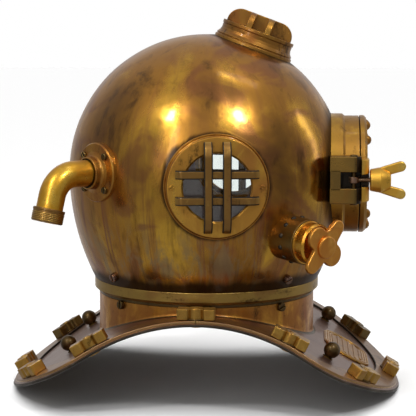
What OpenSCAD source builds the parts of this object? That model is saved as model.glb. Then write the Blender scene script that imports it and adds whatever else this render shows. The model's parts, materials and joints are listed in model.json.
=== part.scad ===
// Diving helmet: a spun bonnet with four windows, locked by a part turn on an arched breastplate.
// Units are millimetres. Z is up and the face window looks along -Y.
// The origin is the centre of the neck opening at its lower end.

/* [Shell] */
// Outside radius of the upper half of the shell
shell_r = 161; // [120:0.5:200]
// Wall of the shell
shell_wall = 3; // [1.5:0.5:6]
// Depth of the neck ring's top below the shell's widest line
shell_drop = 122.5; // [100:0.5:140]

/* [Neck rings] */
// Radius of the neck opening
neck_bore_r = 114; // [100:0.5:120]
// Height of the joint face of the rings above the opening's lower end
joint_z = 16; // [12:0.5:24]
// Distance of the collar's outside from the neck opening
collar_depth = 13; // [11:0.5:16]
// Wall of the collar
collar_wall = 4; // [2:0.5:6]
// Height of the bonnet's ring
neck_ring_h = 14.5; // [12:0.5:20]
// Wall of the bonnet's ring outside its threads
neck_ring_wall = 6.8; // [5:0.1:10]
// Chamfer at the lower edge of the bonnet's ring
neck_ring_chamfer = 3.2; // [1:0.1:5]
// Flange of the breastplate's ring on top of the collar
ring_flange_h = 3; // [2:0.5:5]
// Wall of the spigot that goes up inside the bonnet
spigot_wall = 7; // [5:0.5:8]
// Height of the spigot above the joint face
spigot_h = 13; // [11:0.5:18]
// Reach of an interrupted thread lug
lug_reach = 4.2; // [2:0.1:6]
// Height of an interrupted thread lug
lug_h = 5.7; // [4:0.1:7]
// Length of a lug round the neck, in degrees
lug_arc = 40; // [20:1:42]
// Number of lugs on each ring
lug_count = 4; // [3:1:6]
// Height of the bonnet ring's upstand inside the shell
upstand_h = 19; // [14:0.5:24]
// Gasket on top of the spigot
gasket_t = 1.8; // [1:0.1:3]
// Number of screws above and below the joint
ring_screw_count = 4; // [2:1:8]
// Radius of a ring screw's head
ring_screw_head_r = 5; // [3:0.1:6]
// Height of a ring screw's head
ring_screw_head_h = 4; // [2:0.1:6]
// Radius of a ring screw's shank
ring_screw_shank_r = 2.5; // [1.5:0.1:3]
// Length of a ring screw's shank
ring_screw_shank_l = 9; // [6:0.5:12]
// Height of the upper screws above the bonnet ring
upper_screw_rise = 11; // [8:0.5:14]
// Depth of the lower screws below the joint face
lower_screw_drop = 7.2; // [6:0.1:12]

/* [Breastplate] */
// Thickness of the breastplate sheet
plate_t = 4; // [2:0.5:6]
// Radius of the arch over the shoulders, on the top face
arch_r = 222.8; // [180:0.1:260]
// Slope where the arch becomes straight
arch_slope = 30; // [20:1:38]
// Distance from the neck axis to the tip of the front and rear flaps
flap_tip = 228.9; // [200:0.1:250]
// Radius of the flaps' curved edge
flap_r = 258.2; // [235:0.1:300]
// Half the breadth of the plate at the shoulders
waist_half = 171; // [150:1:190]
// Radius of the hollow side edge
side_r = 615; // [400:5:900]
// Radius of the plate's corners
corner_r = 36; // [32:1:60]

/* [Brails and fastenings] */
// Distance of the brails from the plate's edge
brail_inset = 2.6; // [1:0.1:6]
// Breadth of the brails
brail_w = 25; // [15:0.5:30]
// Thickness of the brails
brail_t = 2.6; // [1:0.1:5]
// Gap between two brails
brail_gap = 0.8; // [0.4:0.1:2]
// Distance of the studs from the plate's edge
stud_inset = 14; // [10:0.5:18]
// Radius of a stud
stud_r = 4; // [2.5:0.1:5]
// Distance of the front corner studs behind the front flap's tip
front_corner_back = 50.9; // [35:0.1:65]
// Distance of the front side studs behind the front flap's tip
front_side_back = 130.9; // [110:0.1:150]
// Distance of the rear side studs in front of the rear flap's tip
rear_side_back = 117.4; // [105:0.1:150]
// Distance of the rear corner studs in front of the rear flap's tip
rear_corner_back = 44.9; // [35:0.1:65]
// Washer radius
washer_r = 11; // [8:0.5:12]
// Washer thickness
washer_t = 1.6; // [1:0.1:3]
// Radius of a wing nut's hub
nut_hub_r = 10; // [7:0.5:12]
// Radius of a wing nut's rounded wing
nut_lobe_r = 8.5; // [5:0.5:10]
// Distance of a wing's centre from the stud
nut_lobe_x = 12; // [9:0.5:14]
// Height of a wing nut's hub
nut_h = 13; // [8:0.5:16]
// Height of a wing nut's wings
nut_wing_h = 12.2; // [6:0.1:14]
// Length of stud that stands out of a nut
stud_end = 1.6; // [0.5:0.1:4]
// Radius of a strap knob's ball
knob_r = 8; // [5:0.5:10]
// Height of the ball's centre above the plate
knob_rise = 9.6; // [8.5:0.1:16]
// Distance of the front knobs from the middle
front_knob_x = 108; // [60:1:120]
// Distance of the front knobs in front of the collar
front_knob_out = 15.8; // [10:0.1:30]
// Distance of the rear knobs from the middle
rear_knob_x = 76; // [40:1:110]
// Distance of the rear knobs behind the collar
rear_knob_out = 21.9; // [10:0.1:35]

/* [Chest panel] */
// Breadth of the chest panel
panel_w = 96; // [60:1:120]
// Length of the chest panel down the flap
panel_l = 50; // [36:1:60]
// Thickness of the chest panel
panel_t = 1.6; // [1:0.1:3]
// Radius of the chest panel's corners
panel_corner_r = 20; // [6:0.5:24]
// Distance of the panel's centre behind the front flap's tip
panel_back = 60.9; // [50:0.1:75]
// Number of raised ribs on the panel
panel_ribs = 8; // [3:1:12]
// Breadth of the panel's raised border
panel_border = 2; // [1:0.1:4]

/* [Side windows] */
// Angle of the side windows forward of straight sideways
side_forward = 8; // [0:1:30]
// Depth of the side windows below the shell's widest line
side_drop = 3; // [-10:0.5:10]
// Radius of the base lip
side_lip_r = 57; // [52:0.5:60]
// Depth of the base lip's face below the shell's crown there
side_lip_sink = 4; // [1:0.5:8]
// Radius of the face disc
side_disc_r = 54; // [48:0.5:56]
// Height of the face above the base lip
side_disc_h = 9; // [8:0.5:16]
// Depth of the pane below the face
side_pane_depth = 5; // [3:0.5:8]
// Radius of the window
side_window_r = 36.5; // [30:0.5:42]
// Length of a guard bar across the front
guard_front_l = 97; // [80:1:102]
// Length of a guard bar behind
guard_back_l = 89; // [70:1:100]
// Breadth of a guard bar
guard_bar_w = 8; // [5:0.5:10]
// Thickness of a guard bar
guard_bar_t = 4.4; // [3:0.1:6]
// Distance between the two upright bars
guard_front_pitch = 20; // [16:0.5:30]
// Distance between the two level bars
guard_back_pitch = 28; // [20:0.5:36]
// Height of the guard above the face
guard_h = 11; // [8:0.5:16]

/* [Top window] */
// Forward tilt of the top window
top_tilt = 20.5; // [10:0.5:35]
// Radius of the base flange
top_base_r = 47; // [42:0.5:52]
// Radius of the neck of the top window
top_neck_r = 42; // [38:0.5:46]
// Height of the rim above the shell's crown there
top_rim_rise = 14; // [8:0.5:24]
// Radius of the glass opening
top_window_r = 31; // [24:0.5:34]
// Height of the guard above the rim
top_guard_h = 18; // [12:0.5:20]
// Thickness of the guard's bars
top_guard_w = 7; // [4:0.5:9]
// Radius of the guard's shoulders
top_shoulder_r = 16; // [8:0.5:18]
// Distance between two guard bars
top_guard_pitch = 22; // [16:0.5:30]

/* [Face window] */
// Depth of the face window below the shell's widest line
face_drop = 1.5; // [-10:0.5:10]
// Radius of the base flange
face_base_r = 70.5; // [69:0.5:76]
// Depth of the base flange's front below the shell's crown there
face_base_sink = 1.4; // [0.5:0.1:8]
// Radius of the frame and the door
face_r = 68; // [60:0.5:72]
// Length of the frame in front of the base flange
face_frame_l = 17.9; // [14:0.1:26]
// Radius of the hole into the head space
face_hole_r = 46; // [40:0.5:50]
// Gap between frame and door
door_gap = 1; // [0.6:0.1:2]
// Thickness of the door
door_t = 7.8; // [6.5:0.1:12]
// Radius of the door's window
door_window_r = 43; // [38:0.5:46]
// Bevel of the door's front edge
door_bevel = 2.8; // [1:0.1:4]
// Distance of the door bolts from the door's edge
door_bolt_inset = 8.5; // [7:0.5:10]
// Number of places on that circle
door_bolt_places = 12; // [8:1:16]
// Radius of a door bolt's head
door_bolt_r = 5.8; // [3:0.1:6]
// Height of a door bolt's head
door_bolt_h = 4.8; // [2:0.1:5]
// Distance of the hinge pin outside the frame
hinge_out = 12; // [10:0.5:20]
// Distance of the hinge pin behind the frame's front
hinge_back = 3.5; // [2:0.1:6]
// Radius of the hinge pin
hinge_pin_r = 3; // [2:0.1:4]
// Radius of the hinge knuckles
knuckle_r = 6.5; // [5:0.5:8]
// Half the height of the door's knuckle
knuckle_half = 9; // [6:0.5:14]
// Height of each of the frame's knuckles
knuckle_h = 14; // [8:0.5:20]
// Radius of the heads at the hinge pin's ends
hinge_head_r = 4.2; // [3.5:0.1:6]

/* [Face latch] */
// Distance of the latch pin outside the frame
latch_out = 12; // [10:0.5:16]
// Distance of the latch pin behind the frame's front
latch_back = 7.3; // [6:0.1:9]
// Radius of the latch lug's barrel round its pin
latch_lug_r = 8.1; // [6:0.1:9]
// Reach of the latch lug behind its pin
latch_lug_rear = 20; // [12:0.5:20]
// Half the height of the latch lug
latch_lug_half = 26.4; // [22:0.1:32]
// Half the height of the pocket in the lug
latch_pocket_half = 9; // [7:0.5:12]
// Depth of the pocket behind the pin
latch_pocket_back = 14.5; // [10:0.5:16]
// Half the height of the door's fork
fork_half = 23.6; // [18:0.1:28]
// Half the height of the slot in the fork
fork_slot_half = 6.8; // [4:0.1:8]
// Thickness of the fork
fork_t = 8.9; // [6:0.1:12]
// Radius of the swing bolt
bolt_r = 3; // [2:0.1:4]
// Radius of the swing bolt's eye
eye_r = 6; // [4.5:0.1:7]
// Radius of the latch pin
latch_pin_r = 2.5; // [1.5:0.1:3]
// Radius of the wing nut's small end
latch_nut_r0 = 12; // [8:0.5:13]
// Radius of the wing nut's large end
latch_nut_r1 = 14.5; // [10:0.5:16]
// Length of the wing nut's lower section
latch_nut_l0 = 12.5; // [6:0.5:14]
// Length of the wing nut's upper section
latch_nut_l1 = 10.5; // [6:0.5:16]
// Splay of the wing nut's wings
latch_wing_splay = 16; // [0:1:30]
// Breadth of a wing
latch_wing_w = 11.5; // [6:0.5:12]
// Thickness of a wing
latch_wing_t = 6.5; // [3:0.5:8]
// Length of a wing to the centre of its round end
latch_wing_l = 23; // [14:0.5:30]

/* [Air inlets] */
// Angle of the inlets behind straight sideways
inlet_back = 45; // [30:1:60]
// Height of the inlets above the shell's widest line
inlet_rise = 8; // [-10:0.5:20]
// Radius of the flange
inlet_flange_r = 33; // [28:0.5:36]
// Height of the flange's face above the shell's crown there
inlet_flange_rise = 3; // [2:0.5:8]
// Radius of the boss on the flange
inlet_boss_r = 18; // [16:0.5:20]
// Length of the boss
inlet_boss_l = 11; // [6:0.5:16]
// Outside radius of the pipe
pipe_r = 13.5; // [10:0.5:15]
// Wall of the pipe
pipe_wall = 2.5; // [1.5:0.5:4]
// Length of straight pipe before the bend
inlet_straight = 25.6; // [16:0.1:36]
// Radius of the bend
bend_r = 30; // [24:0.5:40]
// Angle of the bend
bend_angle = 75; // [45:1:90]
// Length of straight pipe after the bend
outlet_l = 29; // [20:0.5:40]
// Length of the threaded collar at the end
outlet_collar_l = 15; // [10:0.5:20]
// Radius of the threaded collar
outlet_collar_r = 18; // [16:0.5:20]
// Radius of the circle of flange screws
inlet_screw_circle_r = 26; // [22:0.5:29]
// Radius of a flange screw's head
inlet_screw_r = 4.4; // [2.5:0.1:5]
// Height of a flange screw's head
inlet_screw_h = 2.8; // [1:0.1:4]

/* [Exhaust valve] */
// Depth of the valve's base below the shell's crown there
exhaust_sink = 2.8; // [0:0.1:8]
// Angle of the valve's base forward of straight sideways
exhaust_place = 39.8; // [25:0.1:60]
// Depth of the valve's base below the shell's widest line
exhaust_drop = 61.8; // [50:0.1:75]
// Angle of the valve forward of straight sideways
exhaust_forward = 44; // [30:1:60]
// Downward tilt of the valve
exhaust_dip = 4.5; // [0:0.5:15]
// Radius of the drum
drum_r = 25; // [20:0.5:28]
// Length of the drum from the valve's base
drum_l = 27; // [20:0.5:32]
// Wall of the drum
drum_wall = 4; // [2:0.5:6]
// Radius of the cap
cap_r = 22.5; // [18:0.5:26]
// Length of the cap
cap_l = 15; // [10:0.5:20]
// Length of the bare neck between cap and knob
knob_gap = 7; // [3:0.5:12]
// Thickness of the butterfly knob
butterfly_t = 6; // [4:0.5:8]
// Reach of the knob's two wings
wing_reach = 34; // [26:0.5:38]
// Reach of the knob's two short lobes
lobe_reach = 27; // [20:0.5:30]
// Turn of the knob's wings above level
butterfly_angle = 49; // [0:1:90]
// Radius of the stem
stem_r = 4; // [2.5:0.1:6]
// Number of small studs round the drum
drum_stud_count = 12; // [8:1:16]
// Radius of a small stud's head
drum_stud_r = 2.1; // [1.5:0.1:3]
// Height of a small stud's head
drum_stud_h = 1.6; // [0.8:0.1:3]

/* [Hidden] */
$fn = 96;
// Facets of the shell's cutters, so that a cut and its mesh agree.
shell_fn = 360;
// Seats of fixed pieces, running fits, and clearances over a whole travel.
seat_gap = 0.1;
run_gap = 0.08;
part_gap = 0.3;
// Straight pipe laps its bend by this much, this much thicker.
lap = 1;
lap_step = 0.15;
// Longer than any piece, for cutters.
far = 600;
bite = 1;
// An arc is this much smaller than the straight sides that it meets.
arc_step = 0.02;

spigot_r = neck_bore_r + spigot_wall;
collar_r = neck_bore_r + collar_depth;
ring_bore_r = spigot_r + lug_reach + part_gap;
neck_ring_r = ring_bore_r + neck_ring_wall;
ring_top_z = joint_z + neck_ring_h;
spigot_top_z = joint_z + spigot_h;
ledge_z = spigot_top_z + gasket_t + part_gap;
female_top_z = joint_z + part_gap + lug_h;
male_low_z = female_top_z + part_gap;
gasket_inner_r = neck_bore_r + 1;
lower_screw_z = joint_z - lower_screw_drop;
upper_screw_z = upper_screw_rise - shell_drop;
upstand_root = 6;

shell_z = ring_top_z + shell_drop;
shell_foot_r = neck_ring_r - 0.25;
shell_draw = shell_r - shell_foot_r;
shell_flank_r = (shell_draw * shell_draw + shell_drop * shell_drop) / (2 * shell_draw);
flank_c = shell_flank_r - shell_r;
// Cutters start, and flanges are rooted, this far out from the shell's centre.
cut_start = shell_r * 0.62;
flange_root = shell_r * 0.75;

arch_cz = plate_t - arch_r;
arch_kink = 1.5;
flap_c = flap_tip - flap_r;
side_c = waist_half + side_r;
corner_trim = 0.05;
stack_t = brail_t + washer_t;
wing_lift = 0.4;
rivet_head_h = 1.6;
front_knob_y = collar_r + front_knob_out;
rear_knob_y = collar_r + rear_knob_out;
panel_y = flap_tip - panel_back;

side_lip_z = shell_r - side_lip_sink;
side_face_z = side_lip_z + side_disc_h;
side_tube_r = side_window_r + 9.5;
side_tube_z = shell_r - 16;
side_screw_x = side_disc_r - 5.5;
side_screw_r = 2.8;
side_screw_h = 1.6;
pane_lap = 4.5;
pane_t = 5.2;
top_rim_z = shell_r + top_rim_rise;
top_tube_r = top_window_r + 7;
top_tube_z = shell_r - 14;
top_pane_lap = 4;
top_pane_depth = 4;
top_rebate = 10;
top_lip = 1.6;
top_foot_z = top_rim_z - 17;

face_base_y = shell_r - face_base_sink;
face_frame_y = face_base_y + face_frame_l;
face_tube_r = face_r - 8;
face_tube_y = shell_r - 23;
face_step = 1.8;
face_gasket_r0 = face_r - 13;
face_gasket_r1 = face_r - 5;
face_groove = 2.4;
door_back_y = face_frame_y + door_gap;
door_front_y = door_back_y + door_t;
door_r = face_r + 0.5;
door_pane_lap = 6;
door_rebate = 3;
retainer_w = 10;
retainer_t = 2;
hinge_x = face_r + hinge_out;
hinge_arm_l = hinge_out + 10;
door_arm_l = hinge_out + 4;
hinge_arm_front = 3;
knuckle_gap = 0.4;
pin_head_h = 2;
hinge_y = face_frame_y - hinge_back;
latch_x = face_r + latch_out;
latch_y = face_frame_y - latch_back;
latch_root = latch_out + 6;
latch_web = latch_out - 2;
fork_root = latch_out + 7;
fork_side_gap = 2.4;
fork_back_y = door_back_y + 0.2;
fork_front_y = fork_back_y + fork_t;
nut_base_y = fork_front_y + 0.5;
nut_l = latch_nut_l0 + latch_nut_l1;
bolt_end_y = nut_base_y + nut_l - 3;
door_bolt_shank_r = 2.5;
door_bolt_shank_l = 5;

inlet_flange_z = shell_r + inlet_flange_rise;
bend_start = inlet_flange_z + inlet_straight;
pipe_bore_r = pipe_r - pipe_wall;
pipe_start = shell_r - 14;
inlet_shank_r = 1.8;
inlet_shank_l = 4;
exhaust_reach = shell_r - exhaust_sink;
drum_bore_r = drum_r - drum_wall;
cap_top = drum_l + cap_l;
knob_z = cap_top + knob_gap;
drum_root = 30;
drum_stud_z = 9;
stud_shank_r = 1.2;
stud_shank_l = 2.5;
cap_lip = 1.2;
cap_lip_h = 2;
cap_bevel = 1.5;
cap_wall = 4;
cap_face_t = 5;
knob_web_r = 17;
knob_wing_r = 7.5;
knob_lobe_r = 12;
knob_disc_r = 11;
knob_disc_h = 3;

// Distance of one plane point from another.
function span(a, b) = sqrt(pow(a[0] - b[0], 2) + pow(a[1] - b[1], 2));
// Unit vector from one plane point to another.
function towards(a, b) = (b - a) / span(a, b);
// The point at distance ra from a and rb from b, on the left of the line from a to b.
function meet(a, ra, b, rb) =
    let (d = span(a, b), u = towards(a, b),
         t = (ra * ra - rb * rb + d * d) / (2 * d), h = sqrt(ra * ra - t * t))
    a + t * u + h * [-u[1], u[0]];

// Slope angle and height of the breastplate's top face at distance y from the neck axis.
function on_crown(y) = abs(y) < arch_r * sin(arch_slope - arch_kink);
function arch_angle(y) = on_crown(y) ? asin(y / arch_r) : sign(y) * arch_slope;
function arch_z(y) = arch_cz + (on_crown(y) ? arch_r * cos(arch_angle(y)) :
    (arch_r * cos(arch_kink) - abs(y) * sin(arch_slope)) / cos(arch_slope));

// Half the plate's breadth at distance y, this far in from the edge.
function flap_half(y, inset) = sqrt(pow(flap_r - inset, 2) - pow(abs(y) - flap_c, 2));
function side_half(y, inset) = side_c - sqrt(pow(side_r + inset, 2) - y * y);

// Every stud as [x, y, angle of its nut about the stud].
function flap_stud(sx, y) =
    let (x = sx * flap_half(y, stud_inset)) [x, y, atan2(-x, y - sign(y) * flap_c)];
function side_stud(sx, y) = [sx * side_half(y, stud_inset), y, 90];
STUDS = concat(
    [for (sx = [-1, 1]) flap_stud(sx, front_corner_back - flap_tip)],
    [for (sx = [-1, 1]) side_stud(sx, front_side_back - flap_tip)],
    [for (sx = [-1, 1]) side_stud(sx, 0)],
    [for (sx = [-1, 1]) side_stud(sx, flap_tip - rear_side_back)],
    [for (sx = [-1, 1]) flap_stud(sx, flap_tip - rear_corner_back)],
    [for (sy = [-1, 1]) [0, sy * (flap_tip - stud_inset), 0]]);

// Places children on the breastplate's top face with Z along the face's normal.
module on_plate(x, y, turn = 0) {
    translate([x, y, arch_z(y)])
        rotate([-arch_angle(y), 0, 0])
            rotate([0, 0, turn])
                children();
}

// Places children round the shell: local Z points out of the shell, local Y up.
module on_shell(turn, pitch, rise = 0) {
    translate([0, 0, shell_z + rise])
        rotate([0, 0, turn])
            rotate([pitch, 0, 0])
                children();
}

module at_side(s) { on_shell(s * (90 - side_forward), 90, -side_drop) children(); }
module at_top() { on_shell(0, top_tilt) children(); }
module at_face() { on_shell(0, 90, -face_drop) children(); }
module at_inlet(s) { on_shell(s * (90 + inlet_back), 90, inlet_rise) children(); }
module at_exhaust() {
    translate([0, 0, shell_z - exhaust_drop]) rotate([0, 0, exhaust_place]) translate([-exhaust_reach, 0, 0])
        rotate([0, 0, exhaust_forward - exhaust_place - 90])
            rotate([90 + exhaust_dip, 0, 0])
                children();
}
// Places children on the latch or hinge axis: Z up, Y towards the neck axis.
module at_pin(x, y) { translate([x, -y, shell_z - face_drop]) children(); }

module tube(outer_r, inner_r, z0, z1) {
    translate([0, 0, z0]) difference() {
        cylinder(r = outer_r, h = z1 - z0);
        translate([0, 0, -1]) cylinder(r = inner_r, h = z1 - z0 + 2);
    }
}

module disc(r, z0, z1) { translate([0, 0, z0]) cylinder(r = r, h = z1 - z0); }

module block(x0, x1, y0, y1, z0, z1) { translate([x0, y0, z0]) cube([x1 - x0, y1 - y0, z1 - z0]); }

// Breastplate.

// Everything under the arch's top face, raised by h, as a front-to-back section.
module under_arch(h) {
    r = arch_r + h;
    half = r * sin(arch_slope);
    flank_d = arch_r * cos(arch_kink) + h;
    apex = arch_cz + flank_d / cos(arch_slope);
    foot = apex - far * tan(arch_slope);
    difference() {
        polygon([[0, apex], [far, foot], [far, -far], [-far, -far], [-far, foot]]);
        difference() {
            translate([-half, arch_cz]) square([2 * half, 2 * r]);
            translate([0, arch_cz]) circle(r = r);
        }
    }
}

// A layer that follows the arch between two heights, from x0 to x1.
module arch_layer(h0, h1, x0, x1) {
    translate([x0, 0, 0]) rotate([90, 0, 90]) linear_extrude(height = x1 - x0)
        difference() { under_arch(h1); under_arch(h0); }
}

// The plan of the plate, this far in from its edge.
module plan(inset) {
    corner = meet([0, flap_c], flap_r - corner_r, [side_c, 0], side_r + corner_r);
    out_side = towards(corner, [side_c, 0]);
    out_flap = towards([0, flap_c], corner);
    difference() {
        intersection() {
            translate([0, flap_c]) circle(r = flap_r - inset);
            translate([0, -flap_c]) circle(r = flap_r - inset);
        }
        for (sx = [-1, 1]) translate([sx * side_c, 0]) circle(r = side_r + inset);
        for (sx = [-1, 1], sy = [-1, 1]) mirror([sx < 0 ? 1 : 0, 0, 0]) mirror([0, sy < 0 ? 1 : 0, 0])
            translate(corner) difference() {
                polygon([[0, 0], 2 * corner_r * out_side, 3 * corner_r * (out_side + out_flap),
                         2 * corner_r * out_flap]);
                circle(r = corner_r - inset + corner_trim);
            }
    }
}

module stud_holes(h) {
    for (s = STUDS) on_plate(s[0], s[1]) disc(stud_r + seat_gap, -plate_t - 1, h);
}

module breastplate() color([0.55, 0.42, 0.24]) {
    neck_hole_r = collar_r - collar_wall;
    difference() {
        union() {
            intersection() {
                arch_layer(-plate_t, 0, -far / 2, far / 2);
                translate([0, 0, -far]) linear_extrude(height = 2 * far) plan(0);
            }
            difference() {
                disc(collar_r, -collar_r, joint_z - ring_flange_h);
                translate([-far, 0, 0]) rotate([90, 0, 90]) linear_extrude(height = 2 * far)
                    under_arch(-plate_t / 2);
            }
        }
        disc(neck_hole_r, -far, far);
        stud_holes(1);
        collar_screw_holes();
    }
}

// Four lugs of an interrupted thread between two radii.
module lugs(r0, r1, z0, z1) {
    wedge_x = far * cos(lug_arc / 2);
    wedge_y = far * sin(lug_arc / 2);
    for (i = [0 : lug_count - 1]) rotate([0, 0, i * 360 / lug_count]) intersection() {
        tube(r1, r0, z0, z1);
        translate([0, 0, z0 - bite]) linear_extrude(height = z1 - z0 + 2 * bite)
            polygon([[0, 0], [wedge_x, -wedge_y], [wedge_x, wedge_y]]);
    }
}

module at_ring_screws() {
    for (i = [0 : ring_screw_count - 1]) rotate([0, 0, (i + 0.5) * 360 / ring_screw_count]) children();
}

// The lower screws lie level and go in through the collar.
module at_collar_screws() {
    at_ring_screws() translate([collar_r, 0, lower_screw_z]) rotate([0, 90, 0]) children();
}

// The upper screws stand square to the shell.
module at_shell_screws() {
    lean = asin(-upper_screw_z / shell_flank_r);
    at_ring_screws() translate([-flank_c, 0, shell_z]) rotate([0, 90 + lean, 0])
        translate([0, 0, shell_flank_r]) children();
}

module collar_screw_holes() {
    at_collar_screws() disc(ring_screw_shank_r + seat_gap, -ring_screw_shank_l - 0.5, 1);
}

module shell_screw_holes() {
    at_shell_screws() disc(ring_screw_shank_r + seat_gap, -ring_screw_shank_l - 0.5, 1);
}

module ring_screw() {
    disc(ring_screw_head_r, seat_gap, ring_screw_head_h);
    disc(ring_screw_shank_r, -ring_screw_shank_l, seat_gap);
}

module breastplate_ring() color([0.6, 0.47, 0.22]) {
    inside_collar_r = collar_r - collar_wall - seat_gap;
    difference() {
        union() {
            tube(inside_collar_r, neck_bore_r, 0, joint_z - ring_flange_h);
            tube(collar_r, neck_bore_r, joint_z - ring_flange_h, joint_z);
            tube(spigot_r, neck_bore_r, joint_z, spigot_top_z);
            lugs(spigot_r - 1, spigot_r + lug_reach, male_low_z, male_low_z + lug_h);
        }
        collar_screw_holes();
    }
}

module neck_gasket() color([0.32, 0.2, 0.12])
    tube(spigot_r - 0.5, gasket_inner_r, spigot_top_z, spigot_top_z + gasket_t);

// One brail: the band along the plate's edge in one quarter.
module brail(sx, sy) color([0.62, 0.5, 0.25]) {
    half = brail_gap / 2;
    difference() {
        intersection() {
            arch_layer(0, brail_t, sx > 0 ? half : -far / 2, sx > 0 ? far / 2 : -half);
            translate([0, 0, -far]) linear_extrude(height = 2 * far) intersection() {
                difference() { plan(brail_inset); plan(brail_inset + brail_w); }
                translate([-far, sy > 0 ? half : -far - half]) square([2 * far, far]);
            }
        }
        stud_holes(brail_t + 2);
    }
}

module brail_front_right() brail(-1, -1);
module brail_front_left() brail(1, -1);
module brail_rear_right() brail(-1, 1);
module brail_rear_left() brail(1, 1);

module studs() color([0.5, 0.4, 0.2]) {
    for (s = STUDS) on_plate(s[0], s[1]) {
        disc(stud_r, -plate_t - 2 * seat_gap, stack_t + nut_h + stud_end);
        disc(stud_r + 3, -plate_t - 2 * seat_gap - rivet_head_h, -plate_t - 2 * seat_gap);
    }
}

module stud_washers() color([0.66, 0.52, 0.24]) {
    for (s = STUDS) on_plate(s[0], s[1]) tube(washer_r, stud_r + seat_gap, brail_t, stack_t);
}

module wing_nuts() color([0.72, 0.56, 0.2]) {
    for (s = STUDS) on_plate(s[0], s[1], s[2]) difference() {
        union() {
            disc(nut_hub_r, stack_t, stack_t + nut_h);
            for (sx = [-1, 1]) translate([sx * nut_lobe_x, 0, 0])
                disc(nut_lobe_r, stack_t + wing_lift, stack_t + nut_wing_h);
        }
        disc(stud_r + seat_gap, 0, stack_t + nut_h + 1);
    }
}

module strap_knobs() color([0.5, 0.42, 0.2]) {
    for (p = [[front_knob_x, -front_knob_y], [rear_knob_x, rear_knob_y]], sx = [-1, 1])
        on_plate(sx * p[0], p[1]) {
            disc(knob_r * 0.75, 0, 1.2);
            disc(knob_r * 0.45, 1, knob_rise);
            translate([0, 0, knob_rise]) sphere(r = knob_r);
        }
}

// The outline of the chest panel, this far in from its edge.
module panel_outline(inset) {
    half_w = panel_w / 2 - panel_corner_r;
    half_l = panel_l / 2 - panel_corner_r;
    square([2 * half_w, panel_l - 2 * inset], center = true);
    square([panel_w - 2 * inset, 2 * half_l], center = true);
    for (sx = [-1, 1], sy = [-1, 1]) translate([sx * half_w, sy * half_l]) circle(r = panel_corner_r - inset);
}

// A raised line that runs round the panel, this far in from its edge.
module panel_line(inset) {
    linear_extrude(height = panel_t / 2) difference() {
        panel_outline(inset);
        panel_outline(inset + panel_border);
    }
}

module chest_panel() color([0.6, 0.48, 0.22]) {
    field = 3.5 * panel_border;
    rib_pitch = (panel_w - 2 * field) / panel_ribs;
    on_plate(0, -panel_y) {
        linear_extrude(height = panel_t) panel_outline(0);
        translate([0, 0, panel_t]) {
            panel_line(panel_border / 2);
            panel_line(panel_border * 2);
            linear_extrude(height = panel_t / 2) intersection() {
                panel_outline(panel_border * 4);
                for (i = [0 : panel_ribs - 1]) translate([(i - (panel_ribs - 1) / 2) * rib_pitch, 0])
                    square([rib_pitch / 2, panel_l], center = true);
            }
        }
    }
}

module collar_screws() color([0.45, 0.36, 0.2]) at_collar_screws() ring_screw();

// Bonnet.

// Half section of the shell's body, this far inside its outer face.
module shell_section(inset) {
    intersection() {
        circle(r = shell_r - inset, $fn = shell_fn);
        square([shell_r, shell_r]);
    }
    intersection() {
        translate([-flank_c, 0]) circle(r = shell_flank_r - inset, $fn = shell_fn);
        translate([0, -shell_drop]) square([shell_r, shell_drop]);
    }
}

module shell_solid(inset) { translate([0, 0, shell_z]) rotate_extrude($fn = shell_fn) shell_section(inset); }

module shell() color([0.62, 0.44, 0.14]) {
    difference() {
        translate([0, 0, shell_z]) rotate_extrude($fn = shell_fn) difference() {
            shell_section(0);
            intersection() {
                shell_section(shell_wall);
                translate([0, -shell_drop - bite]) square([shell_r, 3 * shell_r]);
            }
        }
        at_face() disc(face_tube_r + seat_gap, cut_start, far);
        for (s = [-1, 1]) at_side(s) disc(side_tube_r + seat_gap, cut_start, far);
        at_top() disc(top_tube_r + seat_gap, cut_start, far);
        for (s = [-1, 1]) at_inlet(s) disc(pipe_r + seat_gap + lap_step, cut_start, far);
        at_exhaust() disc(drum_bore_r, -drum_root, 2 * drum_root);
        shell_screw_holes();
    }
}

module neck_ring() color([0.6, 0.5, 0.2]) {
    low = joint_z + part_gap;
    difference() {
        union() {
            rotate_extrude() polygon([[ring_bore_r, low], [neck_ring_r - neck_ring_chamfer, low],
                                      [neck_ring_r, low + neck_ring_chamfer], [neck_ring_r, ring_top_z - 1],
                                      [neck_ring_r - 1, ring_top_z], [ring_bore_r, ring_top_z]]);
            rotate_extrude() intersection() {
                polygon([[ring_bore_r, ring_top_z - 0.5], [ring_bore_r, ledge_z], [gasket_inner_r, ledge_z],
                         [gasket_inner_r, ledge_z + 3], [spigot_r, ledge_z + 6],
                         [spigot_r, ring_top_z + upstand_h],
                         [neck_ring_r + 10, ring_top_z + upstand_h], [neck_ring_r + 10, ring_top_z],
                         [neck_ring_r - upstand_root, ring_top_z],
                         [neck_ring_r - upstand_root, ring_top_z - 0.5]]);
                translate([-flank_c, shell_z])
                    circle(r = shell_flank_r - shell_wall - seat_gap, $fn = shell_fn);
            }
            lugs(ring_bore_r - lug_reach, ring_bore_r + 1, low, female_top_z);
        }
        shell_screw_holes();
    }
}

module shell_ring_screws() color([0.45, 0.36, 0.2]) at_shell_screws() ring_screw();

// A window's mounting: flange and tube, cut to sit on the shell.
module seated(outer) {
    difference() {
        children();
        shell_solid(outer);
    }
}

module side_ring(s) color([0.6, 0.48, 0.18]) {
    rebate_z = side_face_z - side_pane_depth;
    difference() {
        union() {
            difference() {
                seated(0) at_side(s) {
                    disc(side_lip_r, flange_root, side_lip_z);
                    disc(side_disc_r, flange_root, side_face_z);
                }
                at_side(s) disc(side_tube_r, 0, side_lip_z - 1);
            }
            at_side(s) disc(side_tube_r, side_tube_z, side_face_z - 1);
        }
        at_side(s) disc(side_window_r, side_tube_z - 1, side_face_z + 1);
        at_side(s) disc(side_window_r + pane_lap + seat_gap, side_tube_z - 1, rebate_z);
    }
}

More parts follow.
